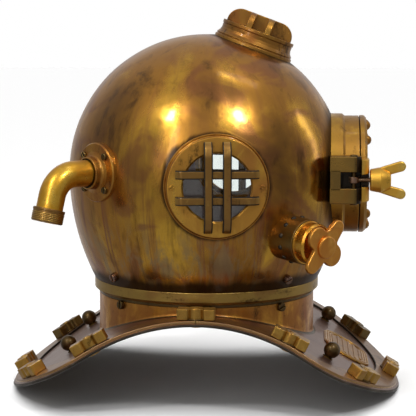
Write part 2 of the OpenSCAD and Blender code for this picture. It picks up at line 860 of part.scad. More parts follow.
module side_glass(s) color([0.8, 0.88, 0.9, 0.4]) at_side(s)
    disc(side_window_r + pane_lap, side_face_z - side_pane_depth - pane_t, side_face_z - side_pane_depth);

// A bar bent down at both ends: length l, breadth w, from height h0 to h1 over the face.
module bent_bar(l, w, h0, h1) {
    t = h1 - h0;
    rotate([90, 0, 0]) translate([0, 0, -w / 2]) linear_extrude(height = w)
        polygon([[-l / 2, 0], [-l / 2 + t, 0], [-l / 2 + h0 + t, h0], [l / 2 - h0 - t, h0],
                 [l / 2 - t, 0], [l / 2, 0], [l / 2 - h1 * 0.75, h1], [-l / 2 + h1 * 0.75, h1]]);
}

module side_guard(s) color([0.66, 0.54, 0.2]) at_side(s) translate([0, 0, side_face_z]) {
    back_h = guard_h * 0.6;
    for (d = [-1, 1]) {
        translate([0, d * guard_back_pitch / 2, 0])
            bent_bar(guard_back_l, guard_bar_w, back_h - guard_bar_t, back_h);
        translate([d * guard_front_pitch / 2, 0, 0]) rotate([0, 0, 90])
            bent_bar(guard_front_l, guard_bar_w, back_h - part_gap, guard_h);
    }
}

module side_screws() color([0.5, 0.4, 0.2]) for (s = [-1, 1]) at_side(s) for (d = [-1, 1])
    translate([d * side_screw_x, 0, 0]) disc(side_screw_r, side_face_z, side_face_z + side_screw_h);

module side_ring_right() side_ring(-1);
module side_ring_left() side_ring(1);
module side_glass_right() side_glass(-1);
module side_glass_left() side_glass(1);
module side_guard_right() side_guard(-1);
module side_guard_left() side_guard(1);

module top_ring() color([0.55, 0.4, 0.18]) {
    draw = top_base_r - top_neck_r;
    rim_r = top_neck_r + top_lip;
    difference() {
        seated(0) at_top() rotate_extrude() polygon([
            [top_tube_r, flange_root], [top_base_r, flange_root], [top_base_r, top_foot_z],
            [top_base_r - 0.3 * draw, top_foot_z + 0.24 * draw],
            [top_neck_r + 0.2 * draw, top_foot_z + 0.6 * draw],
            [top_neck_r, top_foot_z + 1.2 * draw], [top_neck_r, top_rim_z - 3 * top_lip],
            [rim_r, top_rim_z - 2.5 * top_lip], [rim_r, top_rim_z], [top_tube_r, top_rim_z]]);
        at_top() disc(top_window_r + top_pane_lap + seat_gap, top_rim_z - top_pane_depth, top_rim_z + 1);
    }
    at_top() difference() {
        disc(top_tube_r, top_tube_z, top_rim_z);
        disc(top_window_r, top_tube_z - 1, top_rim_z + 1);
        disc(top_window_r + top_pane_lap + seat_gap, top_rim_z - top_rebate, top_rim_z + 1);
    }
}

module top_glass() color([0.8, 0.88, 0.9, 0.4]) at_top()
    disc(top_window_r + top_pane_lap, top_rim_z - top_rebate, top_rim_z - top_pane_depth - 2 * seat_gap);

// A bar set on edge across the rim: flat on top, with rounded shoulders and an arch cut out below.
module shouldered_bar(l, h, w) {
    foot_l = 10;
    arch_h = h * 0.35;
    rotate([90, 0, 0]) translate([0, 0, -w / 2]) linear_extrude(height = w) difference() {
        union() {
            translate([-l / 2, 0]) square([l, h - top_shoulder_r]);
            translate([-l / 2 + top_shoulder_r, 0]) square([l - 2 * top_shoulder_r, h]);
            for (sx = [-1, 1]) translate([sx * (l / 2 - top_shoulder_r), h - top_shoulder_r])
                circle(r = top_shoulder_r - arc_step);
        }
        translate([-l, -far]) square([2 * l, far]);
        translate([-l / 2 + foot_l, -bite]) square([l - 2 * foot_l, bite + arch_h]);
    }
}

module top_guard() color([0.62, 0.5, 0.2]) at_top() translate([0, 0, top_rim_z]) {
    for (d = [-1, 1]) {
        translate([0, d * top_guard_pitch / 2, 0]) shouldered_bar(2 * top_neck_r - 4, top_guard_h, top_guard_w);
        translate([d * top_guard_pitch / 2, 0, 0]) rotate([0, 0, 90])
            shouldered_bar(2 * top_neck_r - 4, top_guard_h - 0.2, top_guard_w);
    }
}

// The latch lug: a barrel round the pin, carried back and in to the frame.
module latch_lug() {
    translate([0, 0, -latch_lug_half]) linear_extrude(height = 2 * latch_lug_half) {
        circle(r = latch_lug_r - arc_step);
        translate([-latch_lug_r, 0]) square([latch_lug_r + latch_root, latch_lug_rear]);
        translate([0, -latch_lug_r]) square([latch_root, 2 * latch_lug_r]);
    }
}

// One of the frame's two knuckles, between two heights.
module frame_knuckle(low, high) {
    disc(knuckle_r, low, high);
    block(-hinge_arm_l, 0, knuckle_r / 3, knuckle_r, low, high);
    block(-hinge_arm_l, -knuckle_r * 0.6, -hinge_arm_front, knuckle_r, low, high);
}

module face_ring() color([0.56, 0.42, 0.22]) {
    knuckle_z = knuckle_half + knuckle_gap;
    difference() {
        union() {
            seated(0) at_face() tube(face_base_r, face_tube_r, flange_root, face_base_y);
            at_face() translate([0, 0, face_base_y]) cylinder(r1 = face_base_r, r2 = face_r, h = face_step);
            at_face() tube(face_r, face_hole_r, face_base_y - 3, face_frame_y);
            at_face() tube(face_tube_r, face_hole_r, face_tube_y, face_base_y);
            at_pin(-latch_x, latch_y) latch_lug();
            at_pin(hinge_x, hinge_y) {
                frame_knuckle(knuckle_z, knuckle_z + knuckle_h);
                frame_knuckle(-knuckle_z - knuckle_h, -knuckle_z);
            }
        }
        at_face() disc(face_hole_r, 0, far);
        at_face() tube(face_gasket_r1, face_gasket_r0, face_frame_y - face_groove, face_frame_y + 1);
        at_pin(-latch_x, latch_y) {
            block(-far, latch_web, -far, latch_pocket_back, -latch_pocket_half, latch_pocket_half);
            disc(latch_pin_r + seat_gap, -latch_lug_half - 1, latch_lug_half + 1);
        }
        at_pin(hinge_x, hinge_y) disc(hinge_pin_r + seat_gap, -far / 2, far / 2);
    }
}

module face_gasket() color([0.1, 0.1, 0.1]) at_face()
    tube(face_gasket_r1 - seat_gap, face_gasket_r0 + seat_gap,
         face_frame_y - face_groove, door_back_y - part_gap);

module hinge_pin() color([0.5, 0.42, 0.25]) at_pin(hinge_x, hinge_y) {
    reach = knuckle_half + knuckle_gap + knuckle_h;
    head_z = reach + pin_head_h * 0.8;
    disc(hinge_pin_r, -head_z, head_z);
    for (sz = [-1, 1]) translate([0, 0, sz * head_z]) disc(hinge_head_r, -pin_head_h / 2, pin_head_h / 2);
}

module latch_pin() color([0.5, 0.42, 0.25]) at_pin(-latch_x, latch_y)
    disc(latch_pin_r, -latch_lug_half + 0.5, latch_lug_half - 0.5);

module inlet_flange(s) color([0.62, 0.36, 0.2]) seated(0) difference() {
    at_inlet(s) tube(inlet_flange_r, pipe_r + seat_gap + lap_step, flange_root, inlet_flange_z);
    at_inlet_screws(s) disc(inlet_shank_r + seat_gap, -inlet_shank_l, 1);
}

module at_inlet_screws(s) {
    for (k = [0 : 3]) at_inlet(s) rotate([0, 0, 45 + 90 * k])
        translate([inlet_screw_circle_r, 0, inlet_flange_z]) children();
}

module inlet_screws() color([0.5, 0.36, 0.2]) for (s = [-1, 1]) at_inlet_screws(s) {
    disc(inlet_screw_r, 0, inlet_screw_h);
    disc(inlet_shank_r, -inlet_shank_l, seat_gap);
}

// Follows the pipe's bend from its straight start down to its end.
module at_bend_end() {
    translate([0, -bend_r * (1 - cos(bend_angle)), bend_start + bend_r * sin(bend_angle)])
        rotate([bend_angle, 0, 0]) children();
}

// The straight runs lap the bend by a hair, so that the pipe is one body.
module pipe_run(r, extra) {
    disc(r + lap_step, pipe_start - extra, bend_start + lap);
    translate([0, -bend_r, bend_start]) rotate([0, -90, 0]) rotate([0, 0, 90 - bend_angle])
        rotate_extrude(angle = bend_angle) translate([bend_r, 0]) circle(r = r);
    at_bend_end() disc(r + lap_step, -lap, outlet_l + extra);
}

module inlet_elbow(s) color([0.75, 0.58, 0.2]) at_inlet(s) difference() {
    union() {
        pipe_run(pipe_r, 0);
        disc(inlet_boss_r, inlet_flange_z, inlet_flange_z + inlet_boss_l);
    }
    pipe_run(pipe_bore_r, 1);
}

module inlet_collars() color([0.55, 0.42, 0.2]) for (s = [-1, 1]) at_inlet(s) at_bend_end()
    tube(outlet_collar_r, pipe_r + seat_gap + lap_step, outlet_l - outlet_collar_l, outlet_l);

module inlet_flange_right() inlet_flange(-1);
module inlet_flange_left() inlet_flange(1);
module inlet_elbow_right() inlet_elbow(-1);
module inlet_elbow_left() inlet_elbow(1);

module exhaust_drum() color([0.5, 0.38, 0.16]) difference() {
    seated(0) at_exhaust() tube(drum_r, drum_bore_r, -drum_root, drum_l);
    at_drum_studs() disc(stud_shank_r + seat_gap, -stud_shank_l - 0.5, 1);
}

module exhaust_cap() color([0.78, 0.6, 0.2]) at_exhaust() difference() {
    union() {
        disc(cap_r + cap_lip, drum_l, drum_l + cap_lip_h);
        disc(cap_r, drum_l, cap_top - cap_bevel);
        translate([0, 0, cap_top - cap_bevel]) cylinder(r1 = cap_r, r2 = cap_r - cap_bevel, h = cap_bevel);
        disc(stem_r + 5, drum_l, cap_top + cap_lip);
    }
    disc(cap_r - cap_wall, drum_l - 1, cap_top - cap_face_t);
    disc(stem_r + run_gap, drum_l - 1, cap_top + 2 * cap_lip);
}

module at_drum_studs() {
    for (i = [0 : drum_stud_count - 1]) at_exhaust() rotate([0, 0, (i + 0.5) * 360 / drum_stud_count])
        translate([0, drum_r, drum_stud_z]) rotate([-90, 0, 0]) children();
}

module exhaust_studs() color([0.7, 0.58, 0.3]) at_drum_studs() {
    disc(drum_stud_r, arc_step, drum_stud_h);
    disc(stud_shank_r, -stud_shank_l, seat_gap);
}

module exhaust_knob() color([0.7, 0.45, 0.2]) at_exhaust() {
    wing_x = wing_reach - knob_wing_r;
    disc(stem_r, drum_l + cap_wall, knob_z + 1);
    disc(2 * stem_r, cap_top + cap_lip + part_gap, knob_z + 0.5);
    rotate([0, 0, butterfly_angle]) translate([0, 0, knob_z]) linear_extrude(height = butterfly_t) {
        circle(r = knob_web_r);
        for (sx = [-1, 1]) {
            translate([sx * wing_x, 0]) circle(r = knob_wing_r);
            polygon([[0, -knob_lobe_r], [sx * wing_x, -knob_wing_r],
                     [sx * wing_x, knob_wing_r], [0, knob_lobe_r]]);
            translate([0, sx * (lobe_reach - knob_lobe_r)]) circle(r = knob_lobe_r);
        }
    }
    disc(knob_disc_r, knob_z + butterfly_t - 1, knob_z + butterfly_t + knob_disc_h);
}

// Face door.

module door_ring() color([0.55, 0.42, 0.24]) {
    rebate_y = door_back_y + door_rebate;
    swing_clear_r = fork_front_y - latch_y - 0.1;
    difference() {
        union() {
            at_face() tube(door_r, door_window_r, door_back_y, door_front_y - door_bevel);
            at_face() translate([0, 0, door_front_y - door_bevel])
                cylinder(r1 = door_r, r2 = door_r - door_bevel, h = door_bevel);
            at_pin(hinge_x, hinge_y) {
                disc(knuckle_r, -knuckle_half, knuckle_half);
                block(-door_arm_l, 0, hinge_y - door_front_y, hinge_y - door_back_y,
                      -knuckle_half, knuckle_half);
            }
            at_pin(-latch_x, latch_y) {
                block(0, fork_root, latch_y - fork_front_y, latch_y - fork_back_y, -fork_half, fork_half);
                intersection() {
                    block(-2 * latch_lug_r, 1, latch_y - fork_front_y, latch_y - fork_back_y,
                          -fork_half, fork_half);
                    disc(swing_clear_r, -far / 2, far / 2);
                }
            }
        }
        at_face() disc(door_window_r, 0, far);
        at_face() disc(door_window_r + door_pane_lap + seat_gap, rebate_y, far);
        at_face() disc(door_window_r + retainer_w + seat_gap, door_front_y - retainer_t, far);
        at_pin(-latch_x, latch_y)
            block(-far, bolt_r + fork_side_gap, -far, 0, -fork_slot_half, fork_slot_half);
        at_pin(hinge_x, hinge_y) disc(hinge_pin_r + run_gap, -far / 2, far / 2);
        at_door_bolts() disc(door_bolt_shank_r + seat_gap, -door_bolt_shank_l - 2 * seat_gap, 1);
    }
}

module door_glass() color([0.8, 0.88, 0.9, 0.4]) at_face()
    disc(door_window_r + door_pane_lap, door_back_y + door_rebate, door_front_y - retainer_t - seat_gap);

module door_retainer() color([0.62, 0.48, 0.2]) at_face()
    tube(door_window_r + retainer_w, door_window_r, door_front_y - retainer_t, door_front_y);

module at_door_bolts() {
    step = 360 / door_bolt_places;
    for (i = [0 : door_bolt_places - 1]) if (abs((i + 0.5) * step - 180) > step)
        at_face() rotate([0, 0, (i + 0.5) * step])
            translate([face_r - door_bolt_inset, 0, door_front_y]) children();
}

// A bolt with a domed head.
module door_bolts() color([0.5, 0.4, 0.2]) at_door_bolts() {
    dome_r = (door_bolt_r * door_bolt_r + door_bolt_h * door_bolt_h) / (2 * door_bolt_h);
    disc(door_bolt_shank_r, -door_bolt_shank_l, 0.5);
    intersection() {
        translate([0, 0, door_bolt_h - dome_r]) sphere(r = dome_r);
        disc(door_bolt_r + 1, 0, door_bolt_h + 1);
    }
}

// The eye is open towards the shell, where the pin leaves it when the door is swung.
module swing_bolt() color([0.45, 0.38, 0.25]) at_pin(-latch_x, latch_y) difference() {
    union() {
        disc(eye_r, -latch_pocket_half + part_gap, latch_pocket_half - part_gap);
        rotate([90, 0, 0]) disc(bolt_r, 0, bolt_end_y - latch_y);
    }
    disc(latch_pin_r + seat_gap, -far / 2, far / 2);
    block(-latch_pin_r - part_gap, latch_pin_r + part_gap, 0, eye_r + 1, -far / 2, far / 2);
}

module latch_nut() color([0.8, 0.64, 0.24]) at_pin(-latch_x, nut_base_y) rotate([90, 0, 0]) difference() {
    wing_half = latch_wing_w / 2;
    union() {
        cylinder(r1 = latch_nut_r0, r2 = latch_nut_r1, h = latch_nut_l0);
        translate([0, 0, latch_nut_l0])
            cylinder(r1 = latch_nut_r1, r2 = latch_nut_r1 - wing_half, h = latch_nut_l1);
        for (sy = [-1, 1]) translate([0, sy * (latch_nut_r1 - wing_half), latch_nut_l0])
            rotate([-sy * latch_wing_splay, 0, 0]) {
                block(-latch_wing_t / 2, latch_wing_t / 2, -wing_half, wing_half, 0, latch_wing_l);
                translate([-latch_wing_t / 2, 0, latch_wing_l]) rotate([0, 90, 0])
                    cylinder(r = wing_half, h = latch_wing_t);
            }
    }
    disc(bolt_r + run_gap, -1, far);
}

breastplate();
breastplate_ring();
neck_gasket();
brail_front_right();
brail_front_left();
brail_rear_right();
brail_rear_left();
studs();
stud_washers();
wing_nuts();
strap_knobs();
chest_panel();
collar_screws();
shell();
neck_ring();
shell_ring_screws();
side_ring_right();
side_ring_left();
side_glass_right();
side_glass_left();
side_guard_right();
side_guard_left();
side_screws();
top_ring();
top_glass();
top_guard();
face_ring();
face_gasket();
hinge_pin();
latch_pin();
inlet_flange_right();
inlet_flange_left();
inlet_elbow_right();
inlet_elbow_left();
inlet_collars();
inlet_screws();
exhaust_drum();
exhaust_cap();
exhaust_studs();
exhaust_knob();
door_ring();
door_glass();
door_retainer();
door_bolts();
swing_bolt();
latch_nut();
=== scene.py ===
"""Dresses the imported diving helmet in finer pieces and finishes, in a plain studio."""

import json
import logging
import math
from dataclasses import dataclass
from enum import Enum
from functools import cache
from typing import Callable, Iterable, Sequence, Union

import bmesh
import bpy
from mathutils import Matrix, Vector

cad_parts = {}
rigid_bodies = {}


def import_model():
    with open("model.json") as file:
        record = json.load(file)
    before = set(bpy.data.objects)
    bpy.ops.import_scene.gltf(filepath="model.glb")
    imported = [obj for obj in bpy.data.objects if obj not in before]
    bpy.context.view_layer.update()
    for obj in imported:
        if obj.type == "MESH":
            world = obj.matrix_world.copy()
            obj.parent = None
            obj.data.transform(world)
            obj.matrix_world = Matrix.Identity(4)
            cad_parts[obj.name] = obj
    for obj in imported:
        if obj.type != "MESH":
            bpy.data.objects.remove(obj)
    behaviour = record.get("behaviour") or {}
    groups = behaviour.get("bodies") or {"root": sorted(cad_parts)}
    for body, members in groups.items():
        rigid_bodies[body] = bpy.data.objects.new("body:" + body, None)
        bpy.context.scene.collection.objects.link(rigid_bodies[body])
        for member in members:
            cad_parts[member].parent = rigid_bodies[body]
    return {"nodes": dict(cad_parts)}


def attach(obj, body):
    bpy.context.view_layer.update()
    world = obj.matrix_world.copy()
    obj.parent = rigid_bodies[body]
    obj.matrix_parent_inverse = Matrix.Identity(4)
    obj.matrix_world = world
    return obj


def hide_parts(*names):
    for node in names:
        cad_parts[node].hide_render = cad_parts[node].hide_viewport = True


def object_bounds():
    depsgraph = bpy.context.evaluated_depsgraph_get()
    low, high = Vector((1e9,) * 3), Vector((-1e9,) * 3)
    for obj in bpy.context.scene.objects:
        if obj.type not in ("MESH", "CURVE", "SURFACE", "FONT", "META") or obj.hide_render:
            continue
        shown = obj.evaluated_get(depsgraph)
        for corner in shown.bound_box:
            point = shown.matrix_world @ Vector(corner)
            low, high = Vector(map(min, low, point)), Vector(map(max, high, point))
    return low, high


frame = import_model()
CAD_BOUNDS = [list(corner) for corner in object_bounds()]

MM = 0.001
CREASE = math.radians(38.0)
LOG = logging.getLogger("helmet")
Colour = tuple[float, float, float]
Flat = tuple[float, float]
Value = Union["Wire", float, int, tuple, str, bpy.types.ID, None]
Picker = Union[Callable[[Vector], int], None]


def operator(operation: str, reflected: bool = False) -> Callable[["Wire", Value], "Wire"]:
    """Makes the method of one of a wire's operators.

    Args:
        operation: The Math node's operation.
        reflected: Whether the wire stands second.

    Returns:
        The method.
    """
    def apply(wire: "Wire", other: Value) -> "Wire":
        """Adds the Math node."""
        pair = (other, wire) if reflected else (wire, other)
        return wire.bench.node("ShaderNodeMath", {"operation": operation}, dict(enumerate(pair)))

    return apply


class Wire:
    """An output socket that can be used in sums written as Python expressions."""

    def __init__(self, bench: "Bench", socket: bpy.types.NodeSocket) -> None:
        """Keeps the socket and the bench that it belongs to."""
        self.bench = bench
        self.socket = socket

    def maths(self, operation: str, *others: Value) -> "Wire":
        """Adds a Math node of an operation, with this wire first and the others after it."""
        return self.bench.node("ShaderNodeMath", {"operation": operation}, dict(enumerate((self, *others))))

    __add__, __radd__ = operator("ADD"), operator("ADD", True)
    __sub__, __rsub__ = operator("SUBTRACT"), operator("SUBTRACT", True)
    __mul__, __rmul__ = operator("MULTIPLY"), operator("MULTIPLY", True)
    __truediv__, __rtruediv__ = operator("DIVIDE"), operator("DIVIDE", True)
    __pow__ = operator("POWER")

    def clamped(self) -> "Wire":
        """The value held between 0 and 1."""
        return self.bench.node("ShaderNodeClamp", {}, {0: self})

    def ramp(self, start: float, end: float, low: float = 0.0, high: float = 1.0) -> "Wire":
        """Goes smoothly from low to high while the value goes from start to end.

        Args:
            start: The value at which the result is low.
            end: The value at which the result is high.
            low: The result at the start.
            high: The result at the end.

        Returns:
            The smoothed value.
        """
        return self.bench.node("ShaderNodeMapRange", {"interpolation_type": "SMOOTHSTEP"},
            {0: self, 1: start, 2: end, 3: low, 4: high})


class Bench:
    """Adds nodes to one shader or geometry tree."""

    MIX_FACTOR, MIX_A, MIX_B, MIX_OUT = 0, 6, 7, 2

    def __init__(self, tree: bpy.types.NodeTree) -> None:
        """Keeps the tree, and its shader where it has one."""
        self.tree = tree
        self.shader = tree.nodes.get("Principled BSDF")

    def raw(self, kind: str, settings: dict, inputs: dict) -> bpy.types.Node:
        """Adds a node.

        Args:
            kind: The node's type.
            settings: What is set on the node itself, before its sockets.
            inputs: A value or a wire for each input, by number or name.

        Returns:
            The node.
        """
        made = self.tree.nodes.new(kind)
        for name, value in settings.items():
            setattr(made, name, value)
        for key, value in inputs.items():
            if isinstance(value, Wire):
                self.tree.links.new(value.socket, made.inputs[key])
            elif value is not None:
                made.inputs[key].default_value = value
        return made

    def node(self, kind: str, settings: dict, inputs: dict, out: Union[int, str] = 0) -> Wire:
        """Adds a node and gives one of its outputs as a wire."""
        return Wire(self, self.raw(kind, settings, inputs).outputs[out])

    def split(self, vector: Wire) -> tuple[Wire, ...]:
        """The X, Y and Z of a vector."""
        return tuple(Wire(self, out) for out in self.raw("ShaderNodeSeparateXYZ", {}, {0: vector}).outputs)

    def coordinates(self) -> Wire:
        """The object coordinates."""
        return self.node("ShaderNodeTexCoord", {}, {}, "Object")

    def mix(self, factor: Value, first: Value, second: Value) -> Wire:
        """Blends two colours.

        Args:
            factor: The share of the second colour.
            first: The first colour.
            second: The second colour.

        Returns:
            The blended colour.
        """
        pair = [c if isinstance(c, Wire) else (*c, 1.0) for c in (first, second)]
        return self.node("ShaderNodeMix", {"data_type": "RGBA"},
            {self.MIX_FACTOR: factor, self.MIX_A: pair[0], self.MIX_B: pair[1]}, self.MIX_OUT)

    def noise(self, place: Value, scale: float, detail: float = 4.0, rough: float = 0.55,
            twist: float = 0.0) -> Wire:
        """A noise value about 0.5 at a place.

        Args:
            place: The vector that the noise is read at.
            scale: How many features there are to a metre.
            detail: The noise's octaves.
            rough: How strong the fine octaves are.
            twist: The noise's distortion.

        Returns:
            The noise's value.
        """
        return self.node("ShaderNodeTexNoise", {}, {"Vector": place, "Scale": scale, "Detail": detail,
            "Roughness": rough, "Distortion": twist})

    def stretched(self, place: Wire, scale: Sequence[float], shift: Sequence[float] = (0.0, 0.0,
            0.0)) -> Wire:
        """A place scaled by another amount along each axis."""
        return self.node("ShaderNodeMapping", {}, {"Vector": place, "Location": tuple(shift),
            "Scale": tuple(scale)})

    def plain(self, **values: Union[float, tuple]) -> None:
        """Sets sockets of the shader, with an underscore for each blank in their names."""
        for name, value in values.items():
            self.shader.inputs[name.replace("_", " ")].default_value = value

    def plug(self, socket: str, value: Wire) -> None:
        """Joins a wire to one of the shader's sockets."""
        self.tree.links.new(value.socket, self.shader.inputs[socket])

    def relief(self, height: Wire, strength: float = 1.0, distance: float = 1.0) -> None:
        """Gives the shader a relief."""
        bump = {"Strength": strength, "Distance": distance, "Height": height}
        self.plug("Normal", self.node("ShaderNodeBump", {}, bump, "Normal"))

    def metal(self, place: Wire, tone: Wire, worn: Wire, rough: Flat, dent: float, grain: float) -> None:
        """Gives a metal its colour, gloss and fine relief.

        Args:
            place: The object coordinates.
            tone: The colour.
            worn: How worn the surface is.
            rough: The roughness where it is worn and where it isn't.
            dent: The height of the hand-worked waves, in millimetres.
            grain: The height of the fine grain, in millimetres.
        """
        fine = self.noise(place, 900.0, 3.0, 0.6)
        wave = self.noise(place, 26.0, 2.0, 0.45)
        scratch = self.noise(self.stretched(place, (900.0, 60.0, 420.0)), 1.0, 2.0, 0.5)
        self.plain(Metallic=1.0, Coat_Weight=0.2, Coat_Roughness=0.07)
        self.plug("Base Color", tone)
        self.plug("Roughness", worn * (rough[0] - rough[1]) + rough[1] + (scratch - 0.5) * (grain * 2.5))
        self.relief(wave * (dent * MM * 6.0) + (fine + scratch) * (grain * MM))


class Recipe:
    """What the recipes of all finishes share."""

    def make(self, name: str) -> bpy.types.Material:
        """Builds the material.

        Args:
            name: The material's name.

        Returns:
            The material.
        """
        material = bpy.data.materials.new(name)
        material.use_nodes = True
        bench = Bench(material.node_tree)
        self.dress(bench, bench.coordinates())
        return material

    def dress(self, bench: Bench, place: Wire) -> None:
        """Dresses the material, each recipe in its own way."""
        raise NotImplementedError


@dataclass(frozen=True)
class Brass(Recipe):
    """Brass with a patina: bright where it is handled, dark where dirt stays."""

    deep: Colour
    body: Colour
    bright: Colour
    blush: Colour
    blotch: float = 22.0
    streak: tuple[float, float, float] = (60.0, 60.0, 14.0)
    polish: float = 0.5
    stain: float = 0.5
    rough: Flat = (0.24, 0.42)
    dent: float = 0.25
    grain: float = 0.06
    wear: float = 0.6

    def colour(self, bench: Bench, place: Wire) -> tuple[Wire, Wire]:
        """Works out the patina.

        Args:
            bench: The material's bench.
            place: The object coordinates.

        Returns:
            The colour, and how worn the surface is from 0 to 1.
        """
        large = bench.noise(place, self.blotch, 5.0, 0.6, 0.6)
        drawn = bench.noise(bench.stretched(place, self.streak), 1.0, 5.0, 0.65)
        speck = bench.noise(place, self.blotch * 14.0, 3.0, 0.7)
        worn = (large * 0.6 + drawn * 0.4).ramp(0.62 - 0.3 * self.polish, 0.78 - 0.2 * self.polish)
        stained = (drawn * 0.55 + large * 0.25 + speck * 0.2).ramp(0.42 + 0.1 * self.stain,
            0.3 + 0.1 * self.stain)
        tone = bench.mix(worn, self.body, self.bright)
        tone = bench.mix(bench.noise(place, self.blotch * 0.7, 3.0, 0.5, 1.0).ramp(0.52, 0.72, 0.0, 0.8),
            tone, self.blush)
        tone = bench.mix(stained, tone, self.deep)
        edge = bench.node("ShaderNodeNewGeometry", {}, {}, "Pointiness")
        rubbed = edge.ramp(0.52, 0.6) * self.wear
        hollow = edge.ramp(0.48, 0.42) * self.wear
        tone = bench.mix(rubbed, tone, self.bright)
        tone = bench.mix(hollow, tone, self.deep)
        return tone, (worn + rubbed - stained).clamped()

    def dress(self, bench: Bench, place: Wire) -> None:
        """Dresses the material in the patina."""
        tone, worn = self.colour(bench, place)
        bench.metal(place, tone, worn, self.rough, self.dent, self.grain)


@dataclass(frozen=True)
class Glass(Recipe):
    """Thick clear window glass, a little green at its edge."""

    tint: Colour = (0.93, 0.97, 0.95)
    smear: float = 0.05

    def dress(self, bench: Bench, place: Wire) -> None:
        """Dresses the material in clear glass with faint smears.

        Args:
            bench: The material's bench.
            place: The object coordinates.
        """
        cloud = bench.noise(place, 30.0, 4.0, 0.6)
        bench.plain(IOR=1.45, Transmission_Weight=1.0)
        bench.plug("Base Color", bench.mix(cloud.ramp(0.4, 0.7), self.tint, (0.86, 0.9, 0.88)))
        bench.plug("Roughness", cloud.ramp(0.45, 0.8, 0.0, self.smear))


@dataclass(frozen=True)
class Seal(Recipe):
    """A soft packing of leather or rubber."""

    body: Colour
    deep: Colour
    rough: Flat

    def dress(self, bench: Bench, place: Wire) -> None:
        """Dresses the material with pores and a cloudy gloss.

        Args:
            bench: The material's bench.
            place: The object coordinates.
        """
        pores = bench.noise(place, 700.0, 4.0, 0.7)
        cloud = bench.noise(place, 40.0, 4.0, 0.6)
        bench.plug("Base Color", bench.mix((pores * 0.5 + cloud * 0.5).ramp(0.4, 0.6), self.deep, self.body))
        bench.plug("Roughness", cloud.ramp(0.3, 0.7, *self.rough))
        bench.relief(pores, 0.6, 0.0004)


@dataclass(frozen=True)
class TonePatch:
    """A patch of the shell made brighter or darker, where, how far and how strongly; the bright ones are
    worn patina with painted highlight, the dark ones tarnish with painted shade.
    """

    turn: float
    low: float
    high: float
    width: float
    strength: float

    def mask(self, around: Wire, height: Wire) -> Wire:
        """The patch as a soft mask.

        Args:
            around: The angle about the neck, in radians.
            height: The height, in metres.

        Returns:
            The strength inside the patch, nought outside it.
        """
        away = (around - math.radians(self.turn)).maths("ABSOLUTE")
        edge = 0.35 * (self.high - self.low)
        across = away.ramp(math.radians(self.width), 0.0)
        return across * height.ramp(self.low, self.low + edge) * height.ramp(self.high,
            self.high - edge) * self.strength


@dataclass(frozen=True)
class GrimeAndShadeRing:
    """Grime on the shell round the foot of a fitting, with painted contact shade there."""

    place: Matrix
    radius: float
    reach: float = 8.0

    def mask(self, bench: Bench, point: Wire, ragged: Wire) -> Wire:
        """The grime and painted shade as a soft mask.

        Args:
            bench: The material's bench.
            point: The point, in metres.
            ragged: How far the darkened edge moves there.

        Returns:
            One at the fitting's foot, nought beyond its reach.
        """
        turn = self.place.to_3x3().transposed()
        local = bench.node("ShaderNodeMapping", {}, {"Vector": point, "Rotation": tuple(turn.to_euler()),
            "Location": tuple(turn @ self.place.translation * -MM)})
        x, y, z = bench.split(local)
        away = (x * x + y * y) ** 0.5 + ragged
        return away.ramp((self.radius + self.reach) * MM, self.radius * MM) * z.ramp(0.0, 0.04)


